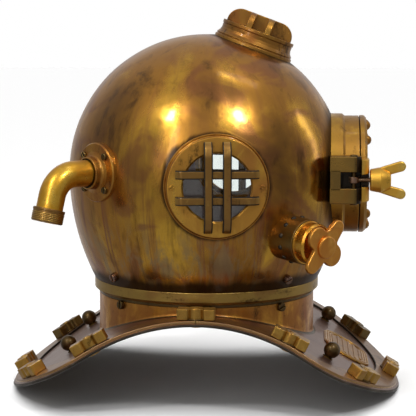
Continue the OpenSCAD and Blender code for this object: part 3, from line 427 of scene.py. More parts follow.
@dataclass(frozen=True)
class ShellPatina(Recipe):
    """The bonnet's patina: clouds, streaks drawn down below, bright and dark patches of worn and tarnished
    brass that also carry painted highlight and painted shade, and grime with painted contact shade round the
    fittings and over the neck.
    """

    deep: Colour = (0.12, 0.054, 0.015)
    body: Colour = (0.46, 0.21, 0.033)
    bright: Colour = (0.82, 0.46, 0.055)
    blush: Colour = (0.3, 0.11, 0.045)
    stain: Colour = (0.34, 0.24, 0.12)
    grime_and_shade_tone: Colour = (0.03, 0.014, 0.005)
    # Bright patches: worn brass, with painted highlight tails in line with the soft boxes' highlights at -14
    # and 17 degrees.
    polish_and_highlight: tuple[TonePatch, ...] = (
        TonePatch(-14.0, 0.17, 0.31, 9.0, 0.6), TonePatch(17.0, 0.16, 0.3, 10.0, 0.6), TonePatch(-24.0, 0.05, 0.24, 17.0, 0.7),
        TonePatch(53.0, 0.07, 0.26, 12.0, 0.6), TonePatch(-12.0, 0.035, 0.13, 18.0, 0.9), TonePatch(27.0, 0.04, 0.1, 8.0, 0.8),
        TonePatch(-46.0, 0.04, 0.12, 8.0, 0.5),
    )
    # Dark patches: tarnish, with painted shade where the shell's reflection of the room is dark.
    tarnish_and_shade: tuple[TonePatch, ...] = (
        TonePatch(4.0, 0.2, 0.29, 13.0, 0.5), TonePatch(35.0, 0.1, 0.27, 16.0, 0.75), TonePatch(-42.0, 0.16, 0.28, 20.0, 0.75),
        TonePatch(8.0, 0.03, 0.085, 14.0, 0.4),
    )

    @staticmethod
    def feet() -> list[GrimeAndShadeRing]:
        """The fittings that grime and painted contact shade gather round, of pairs only the one at the
        diver's right.
        """
        return [GrimeAndShadeRing(HELMET.top(), 48.5), GrimeAndShadeRing(HELMET.side(-1), 57.0, 5.0),
            GrimeAndShadeRing(HELMET.face(), 71.5, 18.0), GrimeAndShadeRing(HELMET.inlet(-1), 26.0, 7.0),
            GrimeAndShadeRing(HELMET.exhaust(), 25.0, 10.0)]

    def dress(self, bench: Bench, place: Wire) -> None:
        """Dresses the shell.

        Args:
            bench: The material's bench.
            place: The object coordinates.
        """
        x, y, z = bench.split(place)
        radius = (x * x + y * y) ** 0.5 + 0.02
        around = (y * -1.0).maths("ARCTAN2", x.maths("ABSOLUTE"))
        round_z = bench.node("ShaderNodeCombineXYZ", {}, {0: x / radius, 1: y / radius, 2: z * 3.0})
        cloud = bench.noise(place, 9.0, 5.0, 0.6, 0.9)
        drift = bench.noise(bench.stretched(place, (16.0, 16.0, 7.0), (0.4, 0.1, 0.7)), 1.0, 5.0, 0.62, 1.2)
        fine = bench.noise(bench.stretched(round_z, (13.0, 13.0, 1.2)), 1.0, 4.0, 0.65, 0.3)
        haze = bench.noise(bench.stretched(place, (60.0, 60.0, 12.0)), 1.0, 4.0, 0.7, 0.4)
        lower = z.ramp(0.2, 0.09, 0.25, 1.0)
        shift = around + (cloud - 0.5) * 0.7 + (drift - 0.5) * 0.3
        rise = z + (drift - 0.5) * 0.08
        bright = (cloud * 0.6 + drift * 0.4).ramp(0.52, 0.68, 0.0, 0.6)
        for rub in self.polish_and_highlight:
            bright = bright + rub.mask(shift, rise)
        dark = (drift * 0.5 + haze * 0.5).ramp(0.5, 0.36, 0.0, 0.55) + fine.ramp(0.45, 0.3) * lower * 0.5
        for rub in self.tarnish_and_shade:
            dark = dark + rub.mask(shift, rise)
        mirrored = bench.node("ShaderNodeCombineXYZ", {}, {0: x.maths("ABSOLUTE") * -1.0, 1: y, 2: z})
        # Near-black band over the neck ring and round the fittings' feet: grime with painted contact shade.
        grime_and_shade = (z + (drift - 0.5) * 0.02).ramp(0.049, 0.038)
        for foot in self.feet():
            grime_and_shade = grime_and_shade + foot.mask(bench, mirrored, (drift - 0.5) * 0.016)
        bright, dark, grime_and_shade = bright.clamped(), dark.clamped(), grime_and_shade.clamped()
        tone = bench.mix(bright, self.body, self.bright)
        tone = bench.mix(fine.ramp(0.52, 0.66) * lower * 0.8, tone, self.blush)
        tone = bench.mix(bench.noise(place, 14.0, 3.0, 0.5, 1.5).ramp(0.5, 0.66, 0.0, 0.7), tone, self.blush)
        tone = bench.mix(z.ramp(0.13, 0.06) * haze.ramp(0.46, 0.62, 0.0, 0.7), tone, self.stain)
        tone = bench.mix(dark * 0.9, tone, self.deep)
        tone = bench.mix(grime_and_shade * 0.9, tone, self.grime_and_shade_tone)
        worn = (bright - dark - grime_and_shade).clamped() - grime_and_shade * 1.5
        bench.metal(place, tone, worn, (0.1, 0.3), 0.18, 0.003)


class Finish(Enum):
    """The helmet's finishes, each with its material's name, its slot of the record and its recipe."""

    SHELL = ("shell_patina", "shell_brass", ShellPatina())
    SHEET = ("sheet_brown", "sheet_brass", Brass((0.12, 0.06, 0.04), (0.24, 0.138, 0.1), (0.4, 0.26, 0.14),
        (0.2, 0.11, 0.085), polish=0.1, stain=0.3, streak=(50.0, 14.0, 50.0)))
    COLLAR = ("collar_mottled", "sheet_brass", Brass((0.09, 0.038, 0.01), (0.41, 0.16, 0.03),
        (0.75, 0.37, 0.055), (0.32, 0.1, 0.028), blotch=30.0))
    # Near-black finish for painted shade: undersides, recesses, slots, joint gaps, drum studs and the
    # outlines of guard bars.
    UNDER = ("underside_dark", "sheet_brass", Brass((0.02, 0.014, 0.01), (0.045, 0.034, 0.024),
        (0.08, 0.06, 0.04), (0.04, 0.026, 0.018), rough=(0.5, 0.7)))
    BAND = ("band_gold", "sheet_brass", Brass((0.09, 0.05, 0.03), (0.3, 0.165, 0.08), (0.6, 0.36, 0.12),
        (0.24, 0.125, 0.075), polish=0.2, wear=0.8))
    CAST = ("cast_satin", "cast_brass", Brass((0.08, 0.04, 0.01), (0.56, 0.27, 0.045), (0.8, 0.45, 0.07),
        (0.42, 0.17, 0.04)))
    GUARD = ("guard_brown", "cast_brass", Brass((0.05, 0.025, 0.008), (0.28, 0.145, 0.036), (0.7, 0.44, 0.1),
        (0.26, 0.12, 0.035), blotch=45.0, polish=0.25, wear=0.5))
    RING = ("ring_olive", "cast_brass", Brass((0.09, 0.05, 0.014), (0.4, 0.25, 0.06), (0.6, 0.4, 0.1),
        (0.3, 0.14, 0.045), streak=(20.0, 20.0, 90.0), polish=0.3))
    PORT = ("port_amber", "cast_brass", Brass((0.06, 0.026, 0.007), (0.34, 0.155, 0.028), (0.6, 0.32, 0.055),
        (0.28, 0.09, 0.022), polish=0.4))
    DOOR = ("door_tan", "cast_brass", Brass((0.1, 0.05, 0.012), (0.4, 0.2, 0.035), (0.7, 0.4, 0.045),
        (0.28, 0.14, 0.07), polish=0.4))
    NUT = ("nut_yellow", "bright_brass", Brass((0.08, 0.042, 0.01), (0.42, 0.23, 0.045), (0.7, 0.42, 0.09),
        (0.36, 0.15, 0.03), blotch=60.0, polish=0.4))
    WING = ("wing_nut_gold", "bright_brass", Brass((0.2, 0.1, 0.015), (0.76, 0.42, 0.055),
        (0.98, 0.68, 0.16), (0.66, 0.32, 0.035), blotch=50.0, polish=0.5, stain=0.1))
    ELBOW = ("elbow_yellow", "bright_brass", Brass((0.2, 0.1, 0.014), (0.72, 0.37, 0.03), (0.95, 0.6, 0.09),
        (0.62, 0.27, 0.02), blotch=35.0, polish=0.5, stain=0.15, rough=(0.24, 0.36), dent=0.1))
    CAP = ("cap_polished", "bright_brass", Brass((0.14, 0.06, 0.01), (0.66, 0.31, 0.03), (0.95, 0.58, 0.1),
        (0.54, 0.19, 0.025), blotch=40.0, rough=(0.16, 0.3)))
    RED = ("flange_copper", "red_brass", Brass((0.08, 0.034, 0.009), (0.38, 0.165, 0.028),
        (0.64, 0.33, 0.05), (0.32, 0.105, 0.02), blotch=40.0))
    KNOB = ("knob_orange", "red_brass", Brass((0.18, 0.075, 0.014), (0.68, 0.29, 0.045), (0.88, 0.46, 0.09),
        (0.6, 0.22, 0.035), blotch=40.0, stain=0.2, rough=(0.26, 0.4)))
    DARK = ("dark_olive", "dark_brass", Brass((0.025, 0.014, 0.005), (0.1, 0.06, 0.02), (0.32, 0.21, 0.06),
        (0.09, 0.04, 0.014), blotch=50.0, polish=0.15))
    DRUM = ("drum_umber", "dark_brass", Brass((0.04, 0.02, 0.007), (0.16, 0.1, 0.028), (0.45, 0.25, 0.05),
        (0.2, 0.075, 0.02), blotch=40.0, polish=0.3))
    TIN = ("tinned_inside", "shell_brass", Brass((0.3, 0.26, 0.26), (0.62, 0.54, 0.54), (0.76, 0.68, 0.67),
        (0.54, 0.44, 0.44), rough=(0.6, 0.75), polish=0.4))
    GLASS = ("window_glass", "glass", Glass())
    LEATHER = ("gasket_leather", "leather", Seal((0.16, 0.09, 0.045), (0.07, 0.035, 0.018), (0.5, 0.75)))
    RUBBER = ("gasket_rubber", "rubber", Seal((0.03, 0.03, 0.03), (0.012, 0.012, 0.012), (0.55, 0.8)))

    @cache
    def material(self) -> bpy.types.Material:
        """The finish's material, made when it is first asked for."""
        return self.value[2].make(self.value[0])


def slide(x: float = 0.0, y: float = 0.0, z: float = 0.0) -> Matrix:
    """A shift."""
    return Matrix.Translation((x, y, z))


def turn_by(angle: float, axis: str = "Z") -> Matrix:
    """A turn about an axis, in degrees."""
    return Matrix.Rotation(math.radians(angle), 4, axis)


@dataclass(frozen=True)
class Layout:
    """The helmet's shared sizes and places, in millimetres and degrees, as its solids have them."""

    shell_r: float = 161.0
    shell_z: float = 153.0
    shell_drop: float = 122.5
    foot_r: float = 132.05
    face_drop: float = 1.5
    side_drop: float = 3.0
    side_forward: float = 8.0
    top_tilt: float = 20.5
    inlet_back: float = 45.0
    inlet_rise: float = 8.0
    exhaust_reach: float = 158.2
    exhaust_place: float = 39.8
    exhaust_drop: float = 61.8
    exhaust_forward: float = 44.0
    exhaust_dip: float = 4.5
    pin_x: float = 80.0
    hinge_y: float = 174.0
    latch_y: float = 170.2

    @property
    def flank_r(self) -> float:
        """Radius of the arc that draws the shell in towards the neck."""
        draw = self.shell_r - self.foot_r
        return (draw * draw + self.shell_drop ** 2) / (2.0 * draw)

    def shell_edge(self, height: float, inset: float = 0.0) -> float:
        """The shell's radius at a height over its widest line, this far inside its face."""
        if height >= 0.0:
            return math.sqrt(max((self.shell_r - inset) ** 2 - height * height, 0.0))
        return math.sqrt((self.flank_r - inset) ** 2 - height * height) - (self.flank_r - self.shell_r)

    def beyond_shell(self, point: Vector, inset: float) -> float:
        """How far a point lies outside the shell, below nought where it is inside.

        Args:
            point: The point.
            inset: How far inside the shell's face to measure from.

        Returns:
            The distance, in millimetres.
        """
        height = point.z - self.shell_z
        across = math.hypot(point.x, point.y)
        if height >= 0.0:
            return math.hypot(across, height) - (self.shell_r - inset)
        return math.hypot(across + self.flank_r - self.shell_r, height) - (self.flank_r - inset)

    def on_shell(self, turn: float, pitch: float, rise: float = 0.0) -> Matrix:
        """A place on the shell's middle with Z pointing out and Y up."""
        return (slide(z=self.shell_z + rise) @ turn_by(turn) @ turn_by(pitch, "X"))

    def side(self, sign: int) -> Matrix:
        """The place of a side window, -1 at the diver's right."""
        return self.on_shell(sign * (90.0 - self.side_forward), 90.0, -self.side_drop)

    def top(self) -> Matrix:
        """The place of the top window."""
        return self.on_shell(0.0, self.top_tilt)

    def face(self) -> Matrix:
        """The place of the face window."""
        return self.on_shell(0.0, 90.0, -self.face_drop)

    def inlet(self, sign: int) -> Matrix:
        """The place of an air inlet."""
        return self.on_shell(sign * (90.0 + self.inlet_back), 90.0, self.inlet_rise)

    def exhaust(self) -> Matrix:
        """The place of the exhaust valve.

        Returns:
            The place, with Z out of the shell.
        """
        around = math.radians(self.exhaust_place)
        base = (-self.exhaust_reach * math.cos(around), -self.exhaust_reach * math.sin(around),
            self.shell_z - self.exhaust_drop)
        return (Matrix.Translation(base) @ turn_by(self.exhaust_forward - 90.0)
            @ turn_by(90.0 + self.exhaust_dip, "X"))

    def pin(self, sign: int, depth: float) -> Matrix:
        """The hinge or latch axis: Z up, Y towards the neck axis."""
        return slide(sign * self.pin_x, -depth, self.shell_z - self.face_drop)


HELMET = Layout()


def box(left: float, low: float, right: float, high: float) -> list[Flat]:
    """The outline of an upright box."""
    return [(left, low), (right, low), (right, high), (left, high)]


def arc(centre: Flat, radius: float, start: float, end: float, steps: int) -> list[Flat]:
    """Points on an arc.

    Args:
        centre: Its centre.
        radius: Its radius.
        start: The angle of its first point, in degrees.
        end: The angle of its last point.
        steps: How many spans it has.

    Returns:
        The points, one more than the spans.
    """
    angles = (math.radians(start + (end - start) * i / steps) for i in range(steps + 1))
    return [(centre[0] + radius * math.cos(a), centre[1] + radius * math.sin(a)) for a in angles]


def rounded(outline: Sequence[Flat], radius: Union[float, Sequence[float]], steps: int = 3) -> list[Flat]:
    """Rounds the corners of a closed outline.

    Args:
        outline: The corners.
        radius: One radius, or one for each corner.
        steps: How many spans each round has.

    Returns:
        The rounded outline.
    """
    points = [Vector(p) for p in outline]
    radii = [radius] * len(points) if isinstance(radius, (int, float)) else list(radius)
    made: list[Flat] = []
    for i, corner in enumerate(points):
        back, ahead = points[i - 1] - corner, points[(i + 1) % len(points)] - corner
        angle = back.angle(ahead, math.pi)
        if radii[i] <= 0.0 or angle > math.radians(176.0) or angle < math.radians(2.0):
            made.append(tuple(corner))
            continue
        cut = min(radii[i] / math.tan(angle / 2.0), 0.48 * back.length, 0.48 * ahead.length)
        start, end = corner + back.normalized() * cut, corner + ahead.normalized() * cut
        for k in range(steps + 1):
            t = k / steps
            made.append(tuple(start * (1 - t) ** 2 + corner * (2 * t * (1 - t)) + end * t * t))
    return made


def inset(outline: Sequence[Flat], depth: float) -> list[Flat]:
    """Moves an anticlockwise outline inwards, or outwards for a depth below nought.

    Args:
        outline: The outline.
        depth: How far it moves.

    Returns:
        The moved outline.
    """
    points = [Vector(p) for p in outline]
    made: list[Flat] = []
    for i, point in enumerate(points):
        before = (point - points[i - 1]).normalized()
        after = (points[(i + 1) % len(points)] - point).normalized()
        n1, n2 = Vector((-before.y, before.x)), Vector((-after.y, after.x))
        made.append(tuple(point + (n1 + n2) * (depth / max(1.0 + n1.dot(n2), 0.3))))
    return made


def blob(circles: Sequence[tuple[float, float, float]], steps: int = 120, smooth: int = 2) -> list[Flat]:
    """The outline round overlapping circles, with its valleys eased.

    Args:
        circles: Each circle's centre and radius. The first holds the origin.
        steps: How many points the outline has.
        smooth: How many times each point is averaged with its neighbours.

    Returns:
        The outline, anticlockwise.
    """
    reach = []
    for i in range(steps):
        way = Vector((math.cos(math.tau * i / steps), math.sin(math.tau * i / steps)))
        best = 0.0
        for cx, cy, radius in circles:
            along = way.dot(Vector((cx, cy)))
            under = radius * radius - (cx * cx + cy * cy - along * along)
            if under >= 0.0:
                best = max(best, along + math.sqrt(under))
        reach.append(best)
    for _ in range(smooth):
        reach = [(reach[i - 1] + 2.0 * reach[i] + reach[(i + 1) % steps]) / 4.0 for i in range(steps)]
    return [(r * math.cos(math.tau * i / steps), r * math.sin(math.tau * i / steps)) for i,
        r in enumerate(reach)]


class Blank:
    """A mesh that is being shaped, in millimetres in the helmet's frame."""

    def __init__(self) -> None:
        """Starts an empty mesh."""
        self.shape = bmesh.new()

    def skin(self, rings: Sequence[Sequence[Vector]], looped: bool = False) -> None:
        """Skins a row of closed rings of points with quads, and closes the ends of an open row.

        Args:
            rings: The rings, each with as many points.
            looped: Whether the last ring joins the first.
        """
        rows = [[self.shape.verts.new(p) for p in ring] for ring in rings]
        count = len(rows[0])
        pairs = list(zip(rows, rows[1:])) + ([(rows[-1], rows[0])] if looped else [])
        for near, away in pairs:
            for i in range(count):
                j = (i + 1) % count
                self.shape.faces.new((near[i], near[j], away[j], away[i]))
        if not looped:
            self.shape.faces.new(rows[0][::-1])
            self.shape.faces.new(rows[-1])

    def lathe(self, profile: Sequence[Flat], place: Matrix = Matrix(), steps: int = 96, start: float = 0.0,
            sweep: float = 360.0, seat: float = -math.inf) -> None:
        """Turns a closed profile about the place's Z axis.

        Args:
            profile: The profile's (radius, height) points.
            place: The place.
            steps: How many spans go round.
            start: The angle of the first, in degrees.
            sweep: How far it is turned.
            seat: Points below this height are laid into the shell's wall.
        """
        whole = sweep >= 360.0
        rings = []
        for k in range(steps if whole else steps + 1):
            angle = math.radians(start + sweep * k / steps)
            ring = []
            for radius, height in profile:
                x, y = radius * math.cos(angle), radius * math.sin(angle)
                z = self.seated(place, x, y) if height < seat else height
                ring.append(place @ Vector((x, y, z)))
            rings.append(ring)
        self.skin(rings, looped=whole)

    @staticmethod
    def seated(place: Matrix, x: float, y: float, depth: float = 1.2) -> float:
        """The height at which a place's line through (x, y) is this deep in the shell.

        Args:
            place: The place.
            x: The line's position along X.
            y: The same along Y.
            depth: How deep.

        Returns:
            The height along the place's Z.
        """
        low, high = -60.0, 190.0
        for _ in range(30):
            middle = (low + high) / 2.0
            if HELMET.beyond_shell(place @ Vector((x, y, middle)), depth) < 0.0:
                low = middle
            else:
                high = middle
        return low

    def slab(self, outline: Sequence[Flat], low: float, high: float, edge: float, place: Matrix = Matrix(),
            steps: int = 3) -> None:
        """Raises a plate from an anticlockwise outline and rounds its upper and lower edges.

        Args:
            outline: The outline.
            low: The lower side's height.
            high: The upper side's height.
            edge: The edges' radius.
            place: Where it stands.
            steps: Steps round an edge.
        """
        rings = []
        for base, sign in ((low, 1.0), (high, -1.0)):
            part = []
            for k in range(steps + 1):
                angle = math.pi / 2.0 * k / steps
                flat = inset(outline, edge * (1.0 - math.sin(angle)))
                part.append([place @ Vector((x, y, base + sign * edge * (1.0 - math.cos(angle)))) for x,
                    y in flat])
            rings += part if sign > 0 else part[::-1]
        self.skin(rings)

    def slotted_head(self, radius: float, height: float, slot: float, place: Matrix = Matrix()) -> None:
        """Adds a screw's round head with a slot across it.

        Args:
            radius: The head's radius.
            height: Its height.
            slot: The slot's width.
            place: Where it stands.
        """
        floor = height * 0.5
        self.lathe(rounded(box(0.0, 0.0, radius, floor), 0.15), place, 32)
        reach = math.degrees(math.asin(slot / 2.0 / radius))
        for turn in (0.0, 180.0):
            half = arc((0.0, 0.0), radius, turn + reach, turn + 180.0 - reach, 16)
            self.slab(half, floor - 0.05, height, min(0.35 * height, 0.8), place)

    def cast(self, name: str, finishes: Sequence[Finish], pick: Picker = None) -> bpy.types.Object:
        """Turns the blank into an object at the origin, in metres, smooth but for its creases.

        Args:
            name: The piece's name.
            finishes: Its finishes.
            pick: Gives the number of a face's finish from its middle, in millimetres.

        Returns:
            The object.
        """
        bmesh.ops.remove_doubles(self.shape, verts=self.shape.verts, dist=0.002)
        loose = [e for e in self.shape.edges if not e.link_faces]
        bmesh.ops.delete(self.shape, geom=loose, context="EDGES")
        bmesh.ops.recalc_face_normals(self.shape, faces=self.shape.faces)
        if pick:
            for face in self.shape.faces:
                face.material_index = pick(face.calc_center_median())
        bmesh.ops.scale(self.shape, vec=(MM, MM, MM), verts=self.shape.verts)
        mesh = bpy.data.meshes.new(name)
        self.shape.to_mesh(mesh)
        self.shape.free()
        for finish in finishes:
            mesh.materials.append(finish.material())
        piece = stand(name, mesh)
        settle(piece)
        return piece


def stand(name: str, data: bpy.types.ID) -> bpy.types.Object:
    """Adds an object with this data to the scene.

    Args:
        name: The object's name.
        data: Its mesh or light.

    Returns:
        The object.
    """
    made = bpy.data.objects.new(name, data)
    bpy.context.scene.collection.objects.link(made)
    return made


def settle(piece: bpy.types.Object) -> None:
    """Smooths a piece but for its creases, and weights its normals by its faces.

    Args:
        piece: The piece.
    """
    piece.data.shade_smooth()
    piece.data.set_sharp_from_angle(angle=CREASE)
    modifier = piece.modifiers.new("weighted", "WEIGHTED_NORMAL")
    modifier.keep_sharp = True
    flatten(piece)


def flatten(piece: bpy.types.Object) -> None:
    """Turns a piece with modifiers into a plain mesh.

    Args:
        piece: The piece.
    """
    evaluated = piece.evaluated_get(bpy.context.evaluated_depsgraph_get())
    mesh = bpy.data.meshes.new_from_object(evaluated)
    old = piece.data
    piece.modifiers.clear()
    piece.data = mesh
    mesh.name = piece.name
    if old.users == 0:
        bpy.data.meshes.remove(old)


class NodeTool:
    """A geometry tree with named inputs, run on a guide mesh."""

    KINDS = {"Template": "NodeSocketObject", "Finish": "NodeSocketMaterial"}

    def __init__(self, name: str, *inputs: str) -> None:
        """Starts the tree.

        Args:
            name: The tree's name.
            inputs: The names of its inputs, which are numbers but for those in KINDS.
        """
        self.group = bpy.data.node_groups.new(name, "GeometryNodeTree")
        face = self.group.interface
        face.new_socket("Guide", in_out="INPUT", socket_type="NodeSocketGeometry")
        self.ids = {}
        for label in (*inputs, "Finish"):
            kind = self.KINDS.get(label, "NodeSocketFloat")
            self.ids[label] = face.new_socket(label, in_out="INPUT", socket_type=kind).identifier
        face.new_socket("Result", in_out="OUTPUT", socket_type="NodeSocketGeometry")
        self.bench = Bench(self.group)
        self.given = self.bench.raw("NodeGroupInput", {}, {})

    def taken(self, label: str) -> Wire:
        """The wire of a named input."""
        return Wire(self.bench, self.given.outputs[label])

    def close(self, geometry: Wire) -> None:
        """Ends the tree in Realize Instances and Set Material.

        Args:
            geometry: The geometry that the tree has made.
        """
        real = self.bench.node("GeometryNodeRealizeInstances", {}, {0: geometry})
        dressed = self.bench.node("GeometryNodeSetMaterial", {},
            {"Geometry": real, "Material": self.taken("Finish")})
        self.bench.raw("NodeGroupOutput", {}, {0: dressed})

    def run(self, name: str, guide: bpy.types.Mesh, finish: Finish, values: dict,
            place: Matrix = Matrix()) -> bpy.types.Object:
        """Runs the tree.

        Args:
            name: The piece's name.
            guide: The mesh that the tree works on.
            finish: The piece's finish.
            values: The other inputs.
            place: Where the result is moved to, in millimetres.

        Returns:
            The result as an object with a plain mesh.
        """
        piece = stand(name, guide)
        modifier = piece.modifiers.new(self.group.name, "NODES")
        modifier.node_group = self.group
        for label, value in {**values, "Finish": finish.material()}.items():
            modifier[self.ids[label]] = value
        flatten(piece)
        moved = place.copy()
        moved.translation = place.translation * MM
        piece.data.transform(moved)
        return piece


class FastenerTool(NodeTool):
    """Stands a template on each point of the guide, turned as the point says."""

    SEED, RANDOM_MIN, RANDOM_MAX, RANDOM_OUT = 7, 2, 3, 1

    def __init__(self) -> None:
        """Builds the tree."""
        super().__init__("fasteners", "Template", "Loose turn")
        bench = self.bench
        turn = bench.node("GeometryNodeInputNamedAttribute", {"data_type": "FLOAT_VECTOR"}, {"Name": "turn"})
        most = self.taken("Loose turn")
        spin = bench.node("FunctionNodeRandomValue", {"data_type": "FLOAT"},
            {"Seed": self.SEED, self.RANDOM_MIN: most * -1.0, self.RANDOM_MAX: most}, self.RANDOM_OUT)
        loose = bench.node("ShaderNodeCombineXYZ", {}, {2: spin})
        turned = bench.node("FunctionNodeRotateRotation", {"rotation_space": "LOCAL"},
            {0: bench.node("FunctionNodeEulerToRotation", {}, {0: turn}),
            1: bench.node("FunctionNodeEulerToRotation", {}, {0: loose})})
        template = bench.node("GeometryNodeObjectInfo", {"transform_space": "ORIGINAL"},
            {0: self.taken("Template")}, "Geometry")
        self.close(bench.node("GeometryNodeInstanceOnPoints", {},
            {"Points": self.taken("Guide"), "Instance": template, "Rotation": turned}))

    def spread(self, name: str, blank: Blank, finish: Finish, places: Iterable[Matrix],
            loose: float = 0.0) -> bpy.types.Object:
        """Makes one piece of many like fasteners.

        Args:
            name: The piece's name.
            blank: The template, standing on its own origin.
            finish: The finish.
            places: Where each one stands.
            loose: How far each is turned by chance about its own axis, in degrees.

        Returns:
            The piece.
        """
        template = blank.cast(f"{name}_template", [finish])
        places = list(places)
        guide = bpy.data.meshes.new(name)
        guide.from_pydata([m.to_translation() * MM for m in places], [], [])
        turns = guide.attributes.new("turn", "FLOAT_VECTOR", "POINT")
        for i, place in enumerate(places):
            turns.data[i].vector = place.to_euler()
        piece = self.run(name, guide, finish, {"Template": template, "Loose turn": math.radians(loose)})
        bpy.data.objects.remove(template)
        return piece


class ThreadTool(NodeTool):
    """Winds a thread's ridge round a cylinder."""

    def __init__(self) -> None:
        """Builds the tree."""
        super().__init__("thread", "Radius", "Length", "Turns", "Ridge")
        bench = self.bench
        coil = bench.node("GeometryNodeCurveSpiral", {}, {"Resolution": 32, "Rotations": self.taken("Turns"),
            "Start Radius": self.taken("Radius"), "End Radius": self.taken("Radius"),
            "Height": self.taken("Length")})
        ridge = bench.node("GeometryNodeCurvePrimitiveCircle", {"mode": "RADIUS"},
            {"Resolution": 6, "Radius": self.taken("Ridge")})
        self.close(bench.node("GeometryNodeCurveToMesh", {}, {"Curve": coil, "Profile Curve": ridge,
            "Fill Caps": True}))

    def wind(self, name: str, radius: float, length: float, pitch: float, place: Matrix,
            finish: Finish) -> bpy.types.Object:
        """Makes a thread, in millimetres, up a place's Z axis.

        Args:
            name: The piece's name.
            radius: The root's radius.
            length: The thread's length.
            pitch: The rise of one turn.
            place: Where it starts.
            finish: Its finish.

        Returns:
            The thread.
        """
        guide = bpy.data.meshes.new(name)
        piece = self.run(name, guide, finish, {"Radius": radius * MM, "Length": length * MM,
            "Turns": length / pitch, "Ridge": pitch * 0.36 * MM}, place)
        piece.data.shade_smooth()
        return piece


class BarTool(NodeTool):
    """Bends a bar along the guide's line, which lies in its XY plane."""

    def __init__(self) -> None:
        """Builds the tree."""
        super().__init__("bar", "Bend radius", "Width", "Thickness", "Edge radius")
        bench = self.bench
        line = bench.node("GeometryNodeMeshToCurve", {}, {0: self.taken("Guide")})
        bent = bench.node("GeometryNodeFilletCurve", {"mode": "POLY"},
            {"Curve": line, "Radius": self.taken("Bend radius"), "Limit Radius": True, "Count": 4})
        section = bench.node("GeometryNodeCurvePrimitiveQuadrilateral", {"mode": "RECTANGLE"},
            {"Width": self.taken("Thickness"), "Height": self.taken("Width")})
        eased = bench.node("GeometryNodeFilletCurve", {"mode": "POLY"},
            {"Curve": section, "Radius": self.taken("Edge radius"), "Limit Radius": True, "Count": 4})
        flat = bench.node("GeometryNodeSetCurveNormal", {"mode": "Z_UP"}, {0: bent})
        self.close(bench.node("GeometryNodeCurveToMesh", {}, {"Curve": flat, "Profile Curve": eased,
            "Fill Caps": True}))

    def bend(self, name: str, corners: Sequence[Flat], width: float, thickness: float, bend_r: float,
            edge_r: float, places: Sequence[Matrix], finish: Finish) -> list[bpy.types.Object]:
        """Makes like bars, in millimetres, each standing on a place, long along X and high along Z.

        Args:
            name: The bars' name.
            corners: The corners of their middle line.
            width: Across the bend.
            thickness: Along it.
            bend_r: Radius at the corners.
            edge_r: Radius of the edges.
            places: Where they stand.
            finish: Their finish.

        Returns:
            The bars.
        """
        made = []
        for k, place in enumerate(places):
            guide = bpy.data.meshes.new(name)
            guide.from_pydata([(x * MM, y * MM, 0.0) for x, y in corners],
                [(i, i + 1) for i in range(len(corners) - 1)], [])
            piece = self.run(f"{name}_{k}", guide, finish, {"Bend radius": bend_r * MM, "Width": width * MM,
                "Thickness": thickness * MM, "Edge radius": edge_r * MM}, place @ turn_by(90.0, "X"))
            settle(piece)
            made.append(piece)
        return made


def joined(name: str, pieces: Sequence[bpy.types.Object]) -> bpy.types.Object:
    """Joins pieces into the first of them, under a new name.

    Args:
        name: The new name.
        pieces: The pieces.

    Returns:
        The one piece.
    """
    first = pieces[0]
    if len(pieces) > 1:
        with bpy.context.temp_override(active_object=first, object=first,
                selected_editable_objects=list(pieces), selected_objects=list(pieces)):
            bpy.ops.object.join()
    first.name = name
    first.data.name = name
    return first


class Workshop:
    """Keeps the node tools, and hands finished pieces over to the frame."""

    def __init__(self) -> None:
        """Makes the tools."""
        self.fasteners = FastenerTool()
        self.threads = ThreadTool()
        self.bars = BarTool()

    def hand_over(self, piece: bpy.types.Object, body: str, slot: Finish, node: str) -> None:
        """Makes a piece ride on its body and stand for its node.

        Args:
            piece: The piece.
            body: The body that it moves with.
            slot: Not used.
            node: The CAD node that it stands for.
        """
        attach(piece, body)
        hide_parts(node)
        LOG.info("%s on %s, %d faces, for %s", piece.name, body, len(piece.data.polygons), node)

    def deliver(self, name: str, blank: Blank, body: str, node: str, slot: Finish,
            finishes: Sequence[Finish] = (), pick: Picker = None) -> None:
        """Casts a blank and hands it over.

        Args:
            name: The piece's name.
            blank: The blank.
            body: The body that it moves with.
            node: The CAD node that it stands for.
            slot: The finish that it wears where no finishes are given.
            finishes: Its finishes, where they aren't the slot's own.
            pick: Gives the number of a face's finish from its middle.
        """
        self.hand_over(blank.cast(name, finishes or [slot], pick), body, slot, node)

    def glaze(self, name: str, place: Matrix, pane: tuple[float, float, float], body: str,
            node: str) -> None:
        """Makes a round pane with eased edges.

        Args:
            name: The piece's name.
            place: The window's place.
            pane: The pane's radius, rear and front.
            body: The body that it moves with.
            node: The CAD node that it stands for.
        """
        blank = Blank()
        radius, low, high = pane
        blank.lathe(rounded(box(0.0, low, radius, high), [0.0, 0.4, 0.4, 0.0]), place)
        self.deliver(name, blank, body, node, Finish.GLASS)

    def fasten(self, name: str, head: Blank, places: Sequence[Matrix], body: str, node: str, finish: Finish,
            slot: Finish, loose: float = 0.0) -> None:
        """Makes one piece of like fasteners and hands it over.

        Args:
            name: The piece's name.
            head: What each of them looks like.
            places: Where they stand.
            body: The body that they move with.
            node: The CAD node that they stand for.
            finish: Their finish.
            slot: Passed on, but not used.
            loose: How far each is turned by chance, in degrees.
        """
        self.hand_over(self.fasteners.spread(name, head, finish, places, loose), body, slot, node)


BREASTPLATE, BONNET, DOOR_BODY = "breastplate_body", "bonnet", "face_door"
BOLT_BODY, NUT_BODY, KNOB_BODY = "latch_bolt", "latch_wing_nut", "exhaust_handle"
MIRROR_SIDES = ((-1, "right"), (1, "left"))
SEAT = 130.0


